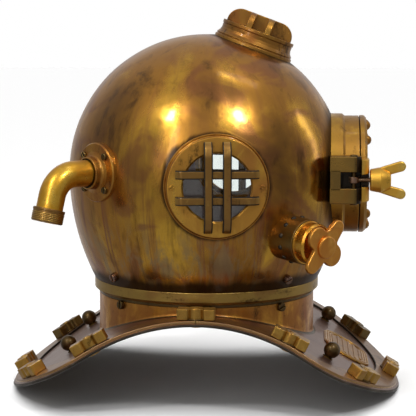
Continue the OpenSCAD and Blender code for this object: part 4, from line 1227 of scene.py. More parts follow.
@dataclass
class Breastplate:
    """The arched plate with its collar, brails, nuts, balls and chest panel."""

    shop: Workshop
    plate_t: float = 4.0
    arch_r: float = 222.8
    arch_slope: float = 30.0
    flap_tip: float = 228.9
    flap_r: float = 258.2
    waist_half: float = 171.0
    side_r: float = 615.0
    corner_r: float = 36.0
    collar_r: float = 127.0
    collar_wall: float = 4.0
    collar_top: float = 13.0
    fillet: float = 4.0
    brail_inset: float = 2.6
    brail_w: float = 25.0
    brail_t: float = 2.6
    brail_gap: float = 0.8
    stud_inset: float = 14.0
    washer_t: float = 1.6
    nut_h: float = 11.8
    nut_wing: float = 20.6

    def height(self, y: float, rise: float = 0.0) -> float:
        """The height of the arch at a distance in front of or behind the neck, raised along its normal.

        Args:
            y: The distance.
            rise: How far it is raised.

        Returns:
            The height.
        """
        radius = self.arch_r + rise
        slope = math.radians(self.arch_slope)
        centre = self.plate_t - self.arch_r
        if abs(y) < radius * math.sin(slope):
            return centre + math.sqrt(radius * radius - y * y)
        return centre + (radius - abs(y) * math.sin(slope)) / math.cos(slope)

    def slope(self, y: float) -> float:
        """The arch's slope there, in radians, positive behind the neck."""
        steep = math.radians(self.arch_slope)
        return math.copysign(min(abs(math.asin(max(-1, min(1, y / self.arch_r)))), steep), y)

    def on_plate(self, x: float, y: float, turn: float = 0.0, rise: float = 0.0) -> Matrix:
        """A place on the plate with Z along its normal."""
        return (slide(x, y, self.height(y)) @ Matrix.Rotation(-self.slope(y), 4, "X") @ turn_by(turn)
            @ slide(z=rise))

    def quarter(self, depth: float) -> list[Flat]:
        """The outline of the rear left quarter, from the flap's tip to the side, this far in from the edge.

        Args:
            depth: How far in.

        Returns:
            The outline's points.
        """
        flap_c, side_c = self.flap_tip - self.flap_r, self.waist_half + self.side_r
        a, b = Vector((0, flap_c)), Vector((side_c, 0))
        ra, rb = self.flap_r - self.corner_r, self.side_r + self.corner_r
        d = (b - a).length
        along = (ra * ra - rb * rb + d * d) / (2 * d)
        u = (b - a) / d
        c = a + u * along + Vector((-u.y, u.x)) * math.sqrt(ra * ra - along * along)
        flap_end = math.degrees(math.atan2(c.y - a.y, c.x - a.x))
        side_start = math.degrees(math.atan2(b.y - c.y, b.x - c.x))
        side_end = math.degrees(math.atan2(c.y - b.y, c.x - b.x))
        points = arc(tuple(a), self.flap_r - depth, 90, flap_end, 44)
        points += arc(tuple(c), self.corner_r - depth, flap_end, side_start, 18)[1:]
        points += arc(tuple(b), self.side_r + depth, side_end, 180, 44)[1:]
        return points

    def outline(self, depth: float) -> list[Flat]:
        """The whole plate's outline, clockwise from the rear flap's tip, this far in.

        Args:
            depth: How far in.

        Returns:
            The outline's points.
        """
        rear_left = self.quarter(depth)
        half = rear_left + [(x, -y) for x, y in rear_left[-2::-1]]
        return half + [(-x, y) for x, y in half[-2:0:-1]]

    def raise_plate(self) -> None:
        """Lofts the plate from its rounded edge to the collar's top, with a worked fillet between them."""
        blank = Blank()
        nose = self.plate_t / 2
        edges = {d: self.outline(d) for d in (0, 0.3 * nose, nose)}
        rings: list[list[Vector]] = []
        for i, rim in enumerate(edges[nose]):
            around = math.atan2(rim[1], rim[0])
            way = Vector((math.cos(around), math.sin(around)))
            out = Vector(rim)
            hole = way * (self.collar_r - self.collar_wall)
            ring: list[Vector] = []

            def put(flat: Union[Vector, Flat], rise: float) -> None:
                """Adds a point over or under the arch."""
                ring.append(Vector((flat[0], flat[1], self.height(flat[1], rise))))

            foot = way * (self.collar_r + self.fillet)
            corner = way * self.collar_r
            base = self.height(corner.y)
            ring.append(Vector((*(way * (self.collar_r - 0.6)), self.collar_top)))
            ring.append(Vector((*corner, self.collar_top - 0.6)))
            top = min(base + self.fillet, self.collar_top - 1)
            start, middle = Vector((*corner, top)), Vector((*corner, base))
            end = Vector((*foot, self.height(foot.y)))
            for k in range(9):
                t = k / 8
                ring.append(start * (1 - t) ** 2 + middle * (2 * t * (1 - t)) + end * t * t)
            for k in range(1, 30):
                put(foot.lerp(out, k / 29), 0)
            put(edges[0.3 * nose][i], -0.35 * nose)
            put(edges[0][i], -nose)
            put(edges[0.3 * nose][i], -self.plate_t + 0.35 * nose)
            for k in range(24):
                put(out.lerp(hole, k / 23), -self.plate_t)
            ring.append(Vector((*hole, self.collar_top - 0.4)))
            ring.append(Vector((*(way * (self.collar_r - self.collar_wall + 0.4)), self.collar_top)))
            rings.append(ring)
        blank.skin(rings, looped=True)
        self.shop.deliver("arched_plate", blank, BREASTPLATE, "breastplate", Finish.SHEET,
            [Finish.SHEET, Finish.COLLAR, Finish.UNDER, Finish.DARK], self.part_of)

    def part_of(self, middle: Vector) -> int:
        """Gives 0 for the plate's top, 1 for the collar, 2 for the underside, painted dark as shade, and 3
        for the root.

        Args:
            middle: The middle of a face, in millimetres.

        Returns:
            The finish's number.
        """
        around = math.hypot(middle.x, middle.y)
        if around < self.collar_r - 1 or middle.z < self.height(middle.y) - 0.2 * self.plate_t:
            return 2
        if around > self.collar_r + 0.8 * self.fillet:
            return 0
        return 1 if middle.z > self.height(middle.y) + 0.35 * self.fillet else 3

    def raise_brails(self) -> None:
        """Lofts the bands along the plate's edge, one in each quarter, each with its inner wall painted dark
        as a shadow line.
        """
        section = rounded(box(0, 0.02, self.brail_w, self.brail_t), [0, 0, 1.1, 1.1], 3)
        depths = [self.quarter(self.brail_inset + d) for d, _ in section]
        half = self.brail_gap / 2
        wall = [Vector(p) for p in self.quarter(self.brail_inset + self.brail_w)]

        def part_of(middle: Vector) -> int:
            """Gives 1 for a band's inner wall, painted dark as a shadow line, and 0 for the rest of it."""
            return int(min((Vector((abs(middle.x), abs(middle.y))) - p).length for p in wall) < 2.4)

        for sign_y, end in ((-1, "front"), (1, "rear")):
            for sign_x, side in MIRROR_SIDES:
                blank, rings = Blank(), []
                for i in range(len(wall)):
                    ring = []
                    for (_, rise), row in zip(section, depths):
                        x, y = max(row[i][0], half), max(row[i][1], half)
                        ring.append(Vector((sign_x * x, sign_y * y, self.height(y, rise))))
                    rings.append(ring)
                blank.skin(rings)
                self.shop.deliver(f"band_{end}_{side}", blank, BREASTPLATE, f"brail_{end}_{side}",
                    Finish.SHEET, [Finish.BAND, Finish.UNDER], part_of)

    def studs(self) -> list[Matrix]:
        """Where the studs stand, each turned as its nut is.

        Returns:
            The studs' places.
        """
        flap_c, side_c = self.flap_tip - self.flap_r, self.waist_half + self.side_r
        made = []
        for y in (-178, 184):
            half = math.sqrt((self.flap_r - self.stud_inset) ** 2 - (abs(y) - flap_c) ** 2)
            for sign in (-1, 1):
                x = sign * half
                made.append(self.on_plate(x, y, math.degrees(math.atan2(-x, y - math.copysign(flap_c, y)))))
        for y in (-98, 0, 111.5):
            half = side_c - math.sqrt((self.side_r + self.stud_inset) ** 2 - y * y)
            made += [self.on_plate(sign * half, y, 90) for sign in (-1, 1)]
        made += [self.on_plate(0, sign * (self.flap_tip - self.stud_inset)) for sign in (-1, 1)]
        return made

    def fit_nuts(self) -> None:
        """Makes the studs, washers and wing nuts."""
        places = self.studs()
        stack = self.brail_t + self.washer_t
        washer = Blank()
        washer.lathe(rounded(box(4.2, self.brail_t, 11, stack), 0.5), steps=48)
        self.shop.fasten("washers", washer, places, BREASTPLATE, "stud_washers", Finish.DARK, Finish.DARK)
        wing, cheek, notch = self.nut_wing, 0.41 * self.nut_wing, 0.27 * self.nut_wing
        half = [(notch, -0.55 * cheek), (0.46 * wing, -cheek), (wing, -cheek), (wing, cheek),
            (0.46 * wing, cheek), (notch, 0.55 * cheek)]
        lobes = rounded(half + [(-x, -y) for x, y in half], [0, 2.2, 2.2, 2.2, 2.2, 0] * 2, 4)
        groups = []
        # The nuts on the far side take the darker umber finish: painted shade.
        for name, finish, sign in (("nuts", Finish.NUT, -1), ("dull_nuts", Finish.DRUM, 1)):
            nut = Blank()
            nut.slab(lobes, self.brail_t + 0.15, stack + self.nut_h - 1.6, 0.7)
            nut.lathe(rounded(box(0, self.brail_t + 0.2, 8.6, stack + self.nut_h - 0.9), [0, 0.3, 0.8, 0]),
                steps=40)
            some = [p for p in places if (p.translation.x > 60) == (sign > 0)]
            groups.append(self.shop.fasteners.spread(name, nut, finish, some, 3))
        self.shop.hand_over(joined("wing_nut_set", groups), BREASTPLATE, Finish.NUT, "wing_nuts")
        stud = Blank()
        tip = stack + self.nut_h - 0.3
        low = -self.plate_t - 0.2
        stud.lathe(rounded(box(0, low, 4, tip), [0, 0, 0.9, 0]), steps=32)
        stud.lathe(rounded(box(0, low - 1.6, 7, low), [0, 1.2, 0, 0]), steps=32)
        self.shop.fasten("stud_ends", stud, places, BREASTPLATE, "studs", Finish.NUT, Finish.DARK)

    def fit_balls(self) -> None:
        """Makes the four strap balls on their necks."""
        ball, knob_r, rise = Blank(), 9.2, 9.4
        arc_points = arc((0, rise), knob_r, -62, 90, 18)
        ball.lathe([(0, 0), (6.2, 0), (6.2, 0.8), (5, 1.3), (3.7, 1.9), *arc_points[:-1],
            (0, rise + knob_r)], steps=40)
        places = [self.on_plate(sign * x, y) for x, y in ((108, -142.8), (76, 148.9)) for sign in (-1, 1)]
        self.shop.fasten("strap_balls", ball, places, BREASTPLATE, "strap_knobs", Finish.DARK, Finish.DARK)

    def fit_panel(self) -> None:
        """Makes the chest panel with its double border and its ribs."""
        width, length, corner, thick, border = 98, 60, 27, 1.6, 2
        blank, place = Blank(), self.on_plate(0, -166)

        def outline(depth: float) -> list[Flat]:
            """The panel's outline, this far in."""
            x, y, r = width / 2 - corner, length / 2 - corner, corner - depth
            return (arc((x, y), r, 0, 90, 16) + arc((-x, y), r, 90, 180, 16) + arc((-x, -y), r, 180, 270, 16)
                + arc((x, -y), r, 270, 360, 16))

        blank.slab(outline(0), 0, thick, 0.5, place)
        for depth in (border * 0.4, border * 2, border * 3.7):
            section = [(depth, thick - 0.2), (depth + 0.35, thick + 0.9),
                (depth + border - 0.5, thick + 0.9), (depth + border, thick - 0.2)]
            loops = [[place @ Vector((x, y, z)) for x, y in outline(d)] for d, z in section]
            blank.skin([list(ring) for ring in zip(*loops)], looped=True)
        ribs, room = 6, length / 2 - 6 * border
        for i in range(ribs):
            y = room * (2 * i / (ribs - 1) - 1)
            reach = width / 2 - corner + math.sqrt((corner - 5.8 * border) ** 2 - max(abs(y) - 3, 0) ** 2)
            bar = rounded(box(-reach, y - 1.5, reach, y + 1.5), 1.2)
            blank.slab(bar, thick - 0.2, thick + 0.9, 0.35, place)
        self.shop.deliver("chest_plate", blank, BREASTPLATE, "chest_panel", Finish.SHEET, [Finish.PORT])

    def build(self) -> None:
        """Makes the whole breastplate."""
        self.raise_plate()
        self.raise_brails()
        self.fit_nuts()
        self.fit_balls()
        self.fit_panel()


@dataclass
class NeckJoint:
    """The bonnet's ring with its locking lugs, and the screws above and below it."""

    shop: Workshop
    bore: float = 125.5
    outer: float = 132.3
    low: float = 16.3
    top: float = 30.5
    chamfer: float = 3.2
    head_r: float = 5.0
    head_h: float = 4.0
    upper_rise: float = 11.0
    lower_z: float = 8.8
    collar_r: float = 127.0

    def turn_ring(self) -> None:
        """Turns the bonnet's ring, with the upstand that goes up inside the shell."""
        blank = Blank()
        foot = HELMET.shell_edge(self.top + 15.5 - HELMET.shell_z, 3.1)
        profile = [(self.bore, self.low), (self.outer - self.chamfer, self.low),
            (self.outer, self.low + self.chamfer), (self.outer, self.top),
            (HELMET.shell_edge(self.top - HELMET.shell_z, 3.1), self.top), (foot, self.top + 15.5),
            (121, self.top + 15.5), (121, 37.1), (115, 34.1), (115, 31.1), (self.bore, 31.1)]
        blank.lathe(rounded(profile, [0.3, 0.8, 0.8, 1.1, 0, 0.4, 0.4, 0, 0.3, 0.3, 0]), steps=192)
        lug = box(self.bore - 4.2, self.low, self.bore + 0.5, self.low + 5.7)
        for k in range(4):
            blank.lathe(rounded(lug, [0.5, 0, 0, 0.5]), steps=24, start=k * 90 - 20, sweep=40)
        self.shop.deliver("locking_ring", blank, BONNET, "neck_ring", Finish.RING)

    def fit_screws(self) -> None:
        """Makes the screws in the shell, square to its face, and in the collar."""
        lean = math.degrees(math.asin((HELMET.shell_drop - self.upper_rise) / HELMET.flank_r))
        shell = (slide(HELMET.shell_r - HELMET.flank_r, 0, HELMET.shell_z) @ turn_by(90 + lean, "Y")
            @ slide(z=HELMET.flank_r))
        collar = slide(self.collar_r, 0, self.lower_z) @ turn_by(90, "Y")
        for body, place, node, finish in ((BONNET, shell, "shell_ring_screws", Finish.SHEET),
                (BREASTPLATE, collar, "collar_screws", Finish.DARK)):
            head = Blank()
            head.slotted_head(self.head_r, self.head_h, 1.5)
            places = [turn_by(45 + 90 * k) @ place for k in range(4)]
            self.shop.fasten(f"{node}_slotted", head, places, body, node, finish, Finish.DARK, 80)

    def build(self) -> None:
        """Makes the ring and its screws."""
        self.turn_ring()
        self.fit_screws()


@dataclass
class Bonnet:
    """The spun shell, cut out behind its fittings."""

    shop: Workshop
    wall: float = 3.0
    steps: int = 256
    dent: float = 0.22

    def spin(self) -> Blank:
        """Spins the shell's wall and leaves it a little uneven, as hand planishing does.

        Returns:
            The wall.
        """
        blank = Blank()
        low = -HELMET.shell_drop
        heights = [low - low * i / 44 for i in range(44)]
        outer = [(HELMET.shell_edge(h), HELMET.shell_z + h) for h in heights]
        outer += [(r, HELMET.shell_z + z) for r, z in arc((0, 0), HELMET.shell_r, 0, 90, 56)]
        inner = [(HELMET.shell_edge(h, self.wall), HELMET.shell_z + h) for h in heights]
        inner += [(r, HELMET.shell_z + z) for r, z in arc((0, 0), HELMET.shell_r - self.wall, 0, 90, 56)]
        blank.lathe([(max(r, 0), z) for r, z in outer + inner[::-1]], steps=self.steps)
        bmesh.ops.remove_doubles(blank.shape, verts=blank.shape.verts, dist=0.002)
        for vert in blank.shape.verts:
            p = vert.co
            wave = math.sin(p.x * 0.061 + 1.3 * math.sin(p.z * 0.043)) * math.sin(p.y * 0.057
                + math.cos(p.x * 0.037))
            lift = wave * math.cos(p.z * 0.071 + p.y * 0.021) * self.dent
            vert.co += Vector((p.x, p.y, 0.35 * (p.z - HELMET.shell_z))).normalized() * lift
        return blank

    def cutters(self) -> Blank:
        """The plugs that cut the holes behind the windows, inlets and exhaust.

        Returns:
            The plugs.
        """
        cuts = Blank()
        holes = [(HELMET.face(), 60.1, 100, 200), (HELMET.top(), 38.1, 100, 200),
            (HELMET.exhaust(), 21, -30, 60)]
        for sign, _ in MIRROR_SIDES:
            holes += [(HELMET.side(sign), 46.1, 100, 200), (HELMET.inlet(sign), 13.75, 100, 200)]
        for place, radius, low, high in holes:
            cuts.lathe(box(0, low, radius, high), place, 96)
        return cuts

    def build(self) -> None:
        """Makes the shell."""
        shell = self.spin().cast("spun_shell", [Finish.SHELL, Finish.TIN], pick=self.side_of)
        plugs = self.cutters().cast("plugs", [Finish.TIN])
        cut = shell.modifiers.new("holes", "BOOLEAN")
        cut.operation, cut.solver, cut.object = "DIFFERENCE", "EXACT", plugs
        flatten(shell)
        bpy.data.objects.remove(plugs)
        settle(shell)
        self.shop.hand_over(shell, BONNET, Finish.SHELL, "shell")

    def side_of(self, middle: Vector) -> int:
        """Gives 0 for the outside of the shell and 1 for its tinned inside."""
        return 0 if HELMET.beyond_shell(middle, self.wall / 2) > 0 else 1


@dataclass
class SideWindow:
    """A side window: stepped ring, thick pane, crossed guard bars and two screws."""

    shop: Workshop
    sign: int
    name: str
    lip_r: float = 57.0
    disc_r: float = 54.0
    window_r: float = 36.5
    lip_z: float = 157.0
    face_z: float = 166.0
    pane: tuple[float, float, float] = (41, 155.8, 161)

    def lip_part(self, middle: Vector) -> int:
        """Gives 1 for the lip round the disc and 0 for the rest of the ring."""
        local = HELMET.side(self.sign).inverted() @ middle
        return int(math.hypot(local.x, local.y) > self.disc_r - 0.6)

    def turn_ring(self) -> None:
        """Turns the ring, with a doubled lip at its foot and a rebate behind for the pane."""
        blank, tube_r = Blank(), self.window_r + 9.5
        profile = [(tube_r, 120), (self.lip_r, 120), (self.lip_r, self.lip_z),
            (self.disc_r + 1.6, self.lip_z), (self.disc_r + 1, self.lip_z - 0.8),
            (self.disc_r, self.lip_z - 0.2), (self.disc_r, self.face_z), (self.window_r + 2, self.face_z),
            (self.window_r, self.face_z - 1.4), (self.window_r, self.face_z - 5),
            (self.window_r + 4.6, self.face_z - 5), (self.window_r + 4.6, 146), (tube_r, 146)]
        radii = [0, 0, 1.1, 0.5, 0.2, 0.2, 1.2, 0.6, 0.4, 0, 0, 0.3, 0.3]
        blank.lathe(rounded(profile, radii), HELMET.side(self.sign), 128, seat=SEAT)
        self.shop.deliver(f"side_mount_{self.name}", blank, BONNET, f"side_ring_{self.name}", Finish.PORT,
            [Finish.CAST, Finish.RED], self.lip_part)

    def build(self) -> None:
        """Makes the window."""
        place = HELMET.side(self.sign)
        self.turn_ring()
        self.shop.glaze(f"side_pane_{self.name}", place, self.pane, BONNET, f"side_glass_{self.name}")
        up = place @ slide(z=self.face_z)
        cross = up @ turn_by(90)
        front = [cross @ slide(0, d * 10, 0) for d in (-1, 1)]
        back = [up @ slide(0, d * 14, 0) for d in (-1, 1)]
        bars = []
        # Each bar is a wider near-black bar under a narrower brass one, so that its edges show a painted
        # shadow outline.
        for width, thick, finish in ((9.4, 4.2, Finish.UNDER), (7.6, 4.6, Finish.GUARD)):
            bars += self.shop.bars.bend("front_bar", [(-47.2, 0.4), (-43, 5.6), (-34, 8.8), (34, 8.8),
                (43, 5.6), (47.2, 0.4)], width, thick, 12, 1.1, front, finish)
            bars += self.shop.bars.bend("back_bar", [(-43.6, 0.8), (-38.5, 4.6), (38.5, 4.6), (43.6, 0.8)],
                width, thick - 0.2, 5, 1.1, back, finish)
        guard = joined(f"guard_bars_{self.name}", bars)
        self.shop.hand_over(guard, BONNET, Finish.CAST, f"side_guard_{self.name}")


@dataclass
class SideWindows:
    """Both side windows, with the two slotted screws in the face of each."""

    shop: Workshop
    screw_x: float = 48.5

    def build(self) -> None:
        """Makes the windows and the screws."""
        for sign, name in MIRROR_SIDES:
            SideWindow(self.shop, sign, name).build()
        head = Blank()
        head.slotted_head(2.9, 1.7, 0.9)
        places = [HELMET.side(sign) @ slide(d * self.screw_x, 0, SideWindow.face_z) for sign,
            _ in MIRROR_SIDES for d in (-1, 1)]
        self.shop.fasten("side_slotted", head, places, BONNET, "side_screws", Finish.CAST, Finish.CAST, 80)


@dataclass
class TopWindow:
    """The top window: turned neck, pane and a guard of four shouldered bars."""

    shop: Workshop
    base_r: float = 47.0
    neck_r: float = 42.0
    window_r: float = 31.0
    rim_z: float = 175.0
    guard_h: float = 18.0
    guard_w: float = 7.0
    shoulder_r: float = 16.0
    pitch: float = 22.0

    def turn_ring(self) -> None:
        """Turns the neck with its stepped foot and lipped rim."""
        blank, tube_r, rim = Blank(), self.window_r + 7, self.rim_z
        profile = [(tube_r, 120), (self.base_r, 120), (self.base_r, rim - 18.4),
            (self.base_r - 1.5, rim - 17.2), (self.base_r - 1.5, rim - 16.8), (self.base_r - 0.8, rim - 16),
            (self.base_r - 2.4, rim - 14), (self.neck_r + 1.4, rim - 12.4), (self.neck_r + 0.4, rim - 9),
            (self.neck_r + 0.5, rim - 4.9), (self.neck_r + 0.1, rim - 4.4), (self.neck_r + 1.3, rim - 3.8),
            (self.neck_r + 1.3, rim), (self.window_r + 6, rim), (self.window_r + 4.1, rim - 1),
            (self.window_r + 4.1, rim - 10), (self.window_r, rim - 10), (self.window_r, 147), (tube_r, 147)]
        radii = [0, 0, 1, 0.3, 0.3, 0.9, 0.8, 1.4, 2.2, 0.4, 0.1, 0.3, 0.8, 0.5, 0.4, 0, 0.3, 0.3, 0.3]
        blank.lathe(rounded(profile, radii), HELMET.top(), 128, seat=SEAT)
        self.shop.deliver("top_mount", blank, BONNET, "top_ring", Finish.PORT)

    def build(self) -> None:
        """Makes the window."""
        self.turn_ring()
        pane = (self.window_r + 4, self.rim_z - 10, self.rim_z - 4.2)
        self.shop.glaze("top_pane", HELMET.top(), pane, BONNET, "top_glass")
        guard = Blank()
        half = self.neck_r - 3
        centre = half - self.shoulder_r
        side = self.guard_h - self.shoulder_r
        outline = ([(-half, -0.6), (half, -0.6)] + arc((centre, side), self.shoulder_r, 0, 90, 12)
            + arc((-centre, side), self.shoulder_r, 90, 180, 12))
        for turn in (0, 90):
            for d in (-1, 1):
                place = (HELMET.top() @ slide(z=self.rim_z) @ turn_by(turn)
                    @ slide(0, d * self.pitch / 2 + self.guard_w / 2, 0) @ turn_by(90, "X"))
                guard.slab(outline, 0, self.guard_w, 0.9, place)
        self.shop.deliver("top_bars", guard, BONNET, "top_guard", Finish.PORT)


@dataclass
class AirInlet:
    """An air inlet: domed flange, elbow, threaded collar and four screws."""

    shop: Workshop
    sign: int
    name: str
    flange_r: float = 33.0
    flange_z: float = 164.0
    boss_r: float = 18.0
    pipe_r: float = 14.6
    bore_r: float = 11.0
    straight: float = 27.4
    bend_r: float = 30.0
    bend_angle: float = 75.0
    outlet_l: float = 29.0
    collar_l: float = 15.0
    collar_r: float = 18.0
    screw_circle: float = 26.0

    def bend_place(self, angle: float) -> Matrix:
        """The pipe's place after it has bent by an angle.

        Args:
            angle: The angle, in degrees.

        Returns:
            The place, with Z along the pipe.
        """
        turn = math.radians(angle)
        start = self.flange_z + self.straight
        return (HELMET.inlet(self.sign) @ slide(0, -self.bend_r * (1 - math.cos(turn)),
            start + self.bend_r * math.sin(turn)) @ Matrix.Rotation(turn, 4, "X"))

    def run_pipe(self) -> None:
        """Runs the pipe's wall along its route, and turns the boss that it stands in."""
        blank, place = Blank(), HELMET.inlet(self.sign)
        route = [place @ slide(z=z) for z in (148, 156, 164, 172, 180)]
        route += [self.bend_place(self.bend_angle * k / 24) for k in range(25)]
        end = self.bend_place(self.bend_angle)
        route += [end @ slide(z=z) for z in (7, 14, 22, self.outlet_l)]
        rings = []
        for radius, places in ((self.pipe_r, route), (self.bore_r, route[::-1])):
            rings += [[m @ Vector((*p, 0)) for p in arc((0, 0), radius, 0, 360, 48)[:-1]] for m in places]
        blank.skin(rings, looped=True)
        flat = self.flange_z
        boss = [(self.pipe_r - 0.5, flat - 1), (self.boss_r + 5, flat - 1), (self.boss_r + 5, flat + 0.4),
            (self.boss_r, flat + 2.4), (self.boss_r, flat + 10), (self.pipe_r + 1.6, flat + 10.6),
            (self.pipe_r + 1.2, flat + 8), (self.pipe_r - 0.5, flat + 8)]
        blank.lathe(rounded(boss, [0, 0, 0.3, 3.4, 1.6, 0.3, 0.2, 0]), place, 64)
        self.shop.deliver(f"gooseneck_{self.name}", blank, BONNET, f"inlet_elbow_{self.name}", Finish.ELBOW,
            [Finish.ELBOW, Finish.RED, Finish.UNDER], self.boss_part)

    def boss_part(self, middle: Vector) -> int:
        """Gives 2 for the ring painted dark as shade in the joint between pipe and boss, 1 for the boss and
        0 for the pipe.

        Args:
            middle: The middle of a face, in millimetres.

        Returns:
            The finish's number.
        """
        local = HELMET.inlet(self.sign).inverted() @ middle
        if local.z > self.flange_z + 10.7 or math.hypot(local.x, local.y) < self.pipe_r - 0.2:
            return 0
        return 2 if math.hypot(local.x, local.y) < self.pipe_r + 1.8 else 1

    def build(self) -> None:
        """Makes the inlet."""
        place, flat = HELMET.inlet(self.sign), self.flange_z
        flange = Blank()
        profile = [(13.9, 130), (self.flange_r, 130), (self.flange_r, flat - 2.4),
            (self.flange_r - 1.2, flat - 1), (self.flange_r - 3, flat - 0.9), (22, flat), (13.9, flat)]
        flange.lathe(rounded(profile, [0, 0, 0.8, 0.6, 0.8, 0.6, 0.3]), place, 96, seat=140)
        self.shop.deliver(f"inlet_foot_{self.name}", flange, BONNET, f"inlet_flange_{self.name}", Finish.RED)
        self.run_pipe()

    def collar(self) -> list[bpy.types.Object]:
        """Turns the collar at the pipe's end and winds its thread.

        Returns:
            The ring and its thread.
        """
        end = self.bend_place(self.bend_angle)
        low, high, root = self.outlet_l - self.collar_l, self.outlet_l, self.collar_r - 1
        blank = Blank()
        profile = [(13.7, low), (root + 0.5, low), (root + 0.5, low + 2.4), (root, low + 3.2),
            (root, high - 0.8), (root - 0.8, high), (13.7, high)]
        blank.lathe(rounded(profile, [0.2, 0.7, 0.4, 0.3, 0.3, 0.3, 0.3]), end, 64)
        ring = blank.cast(f"collar_{self.name}", [Finish.GUARD])
        start = end @ slide(z=low + 4.2)
        coil = self.shop.threads.wind(f"coil_{self.name}", root - 0.1, high - low - 5.6, 1.8, start,
            Finish.GUARD)
        return [ring, coil]

    def screws(self) -> list[Matrix]:
        """The places of the flange's screws."""
        return [HELMET.inlet(self.sign) @ turn_by(45 + 90 * k) @ slide(self.screw_circle, 0,
            self.flange_z - 1.2) for k in range(4)]


@dataclass
class AirInlets:
    """Both air inlets, with the collars and the screws that they share."""

    shop: Workshop

    def build(self) -> None:
        """Makes the inlets, the collars and the screws."""
        inlets = [AirInlet(self.shop, sign, name) for sign, name in MIRROR_SIDES]
        for inlet in inlets:
            inlet.build()
        collars = joined("threaded_collars", [part for inlet in inlets for part in inlet.collar()])
        self.shop.hand_over(collars, BONNET, Finish.CAST, "inlet_collars")
        head = Blank()
        head.slotted_head(3.9, 3.2, 1.1)
        places = [place for inlet in inlets for place in inlet.screws()]
        self.shop.fasten("flange_screws", head, places, BONNET, "inlet_screws", Finish.DARK, Finish.DARK, 80)


@dataclass
class Exhaust:
    """The exhaust valve: studded drum, lipped cap and the butterfly knob that sets it."""

    shop: Workshop
    drum_r: float = 25.0
    bore_r: float = 21.0
    drum_l: float = 27.0
    cap_r: float = 22.5
    cap_l: float = 15.0
    knob_gap: float = 7.0
    knob_t: float = 6.0
    knob_turn: float = 49.0
    stem_r: float = 4.0
    studs: int = 12

    def turn_drum(self) -> None:
        """Turns the plain drum, whose foot follows the shell."""
        blank = Blank()
        blank.lathe(rounded(box(self.bore_r, -40, self.drum_r, self.drum_l), [0, 0, 0.9, 0.3]),
            HELMET.exhaust(), seat=-35)
        self.shop.deliver("pierced_drum", blank, BONNET, "exhaust_drum", Finish.DRUM)

    def turn_cap(self) -> None:
        """Turns the cap with its lip, hollow behind, with a bore for the stem."""
        blank, top, low = Blank(), self.drum_l + self.cap_l, self.drum_l
        profile = [(self.cap_r + 1.2, low), (self.cap_r + 1.2, low + 1), (self.cap_r, low + 1.6),
            (self.cap_r, top - 3), (self.cap_r - 1.5, top), (self.stem_r + 5, top),
            (self.stem_r + 5, top + 1.2), (self.stem_r + 0.1, top + 1.2), (self.stem_r + 0.1, top - 5),
            (self.cap_r - 4, top - 5), (self.cap_r - 4, low)]
        radii = [0.3, 0.5, 0.3, 1.4, 1, 0.3, 0.3, 0.1, 0, 0.3, 0.3]
        blank.lathe(rounded(profile, radii), HELMET.exhaust())
        self.shop.deliver("stepped_cap", blank, BONNET, "exhaust_cap", Finish.CAP)

    def shape_knob(self) -> None:
        """Cuts the butterfly with two wings and two short lobes, on a necked stem."""
        blank, place = Blank(), HELMET.exhaust()
        base = self.drum_l + self.cap_l + self.knob_gap
        turned = place @ turn_by(self.knob_turn)
        wings = [(0, 0, 17), (26, 0, 8.4), (-26, 0, 8.4), (0, 15, 12.6), (0, -15, 12.6)]
        wings += [(s * x, 0, 12.2 - 0.15 * x) for s in (-1, 1) for x in (14, 17, 20, 23)]
        blank.slab(blob(wings, 180, 5), base, base + self.knob_t, 1.8, turned, 4)
        top = base + self.knob_t
        disc = [(0, top - 1), (12.4, top - 1), (12.4, top + 1.6), (11, top + 2.8), (0, top + 3)]
        blank.lathe(rounded(disc, [0, 0, 0.8, 0.8, 0]), place, 64)
        low = self.drum_l + 4
        neck = self.drum_l + self.cap_l + 1.5
        stem = [(0, low), (self.stem_r, low), (self.stem_r, neck), (self.stem_r + 4, neck),
            (self.stem_r + 4, neck + 2), (self.stem_r + 2.6, neck + 3.4), (self.stem_r + 4, base + 0.5),
            (0, base + 0.5)]
        blank.lathe(rounded(stem, [0, 0.3, 0, 0.6, 0.8, 1, 0, 0]), place, 40)
        self.shop.deliver("butterfly", blank, KNOB_BODY, "exhaust_knob", Finish.KNOB)

    def build(self) -> None:
        """Makes the valve."""
        self.turn_drum()
        self.turn_cap()
        self.shape_knob()
        stud = Blank()
        stud.lathe([(0, 0), (2.7, 0), (2.6, 0.6), (1.9, 1.25), (0.9, 1.6), (0, 1.7)], steps=20)
        places = [HELMET.exhaust() @ turn_by((k + 0.5) * 360 / self.studs) @ slide(0, self.drum_r, 9)
            @ turn_by(-90, "X") for k in range(self.studs)]
        # The studs are near-black: painted shade.
        self.shop.fasten("drum_studs", stud, places, BONNET, "exhaust_studs", Finish.UNDER, Finish.UNDER)


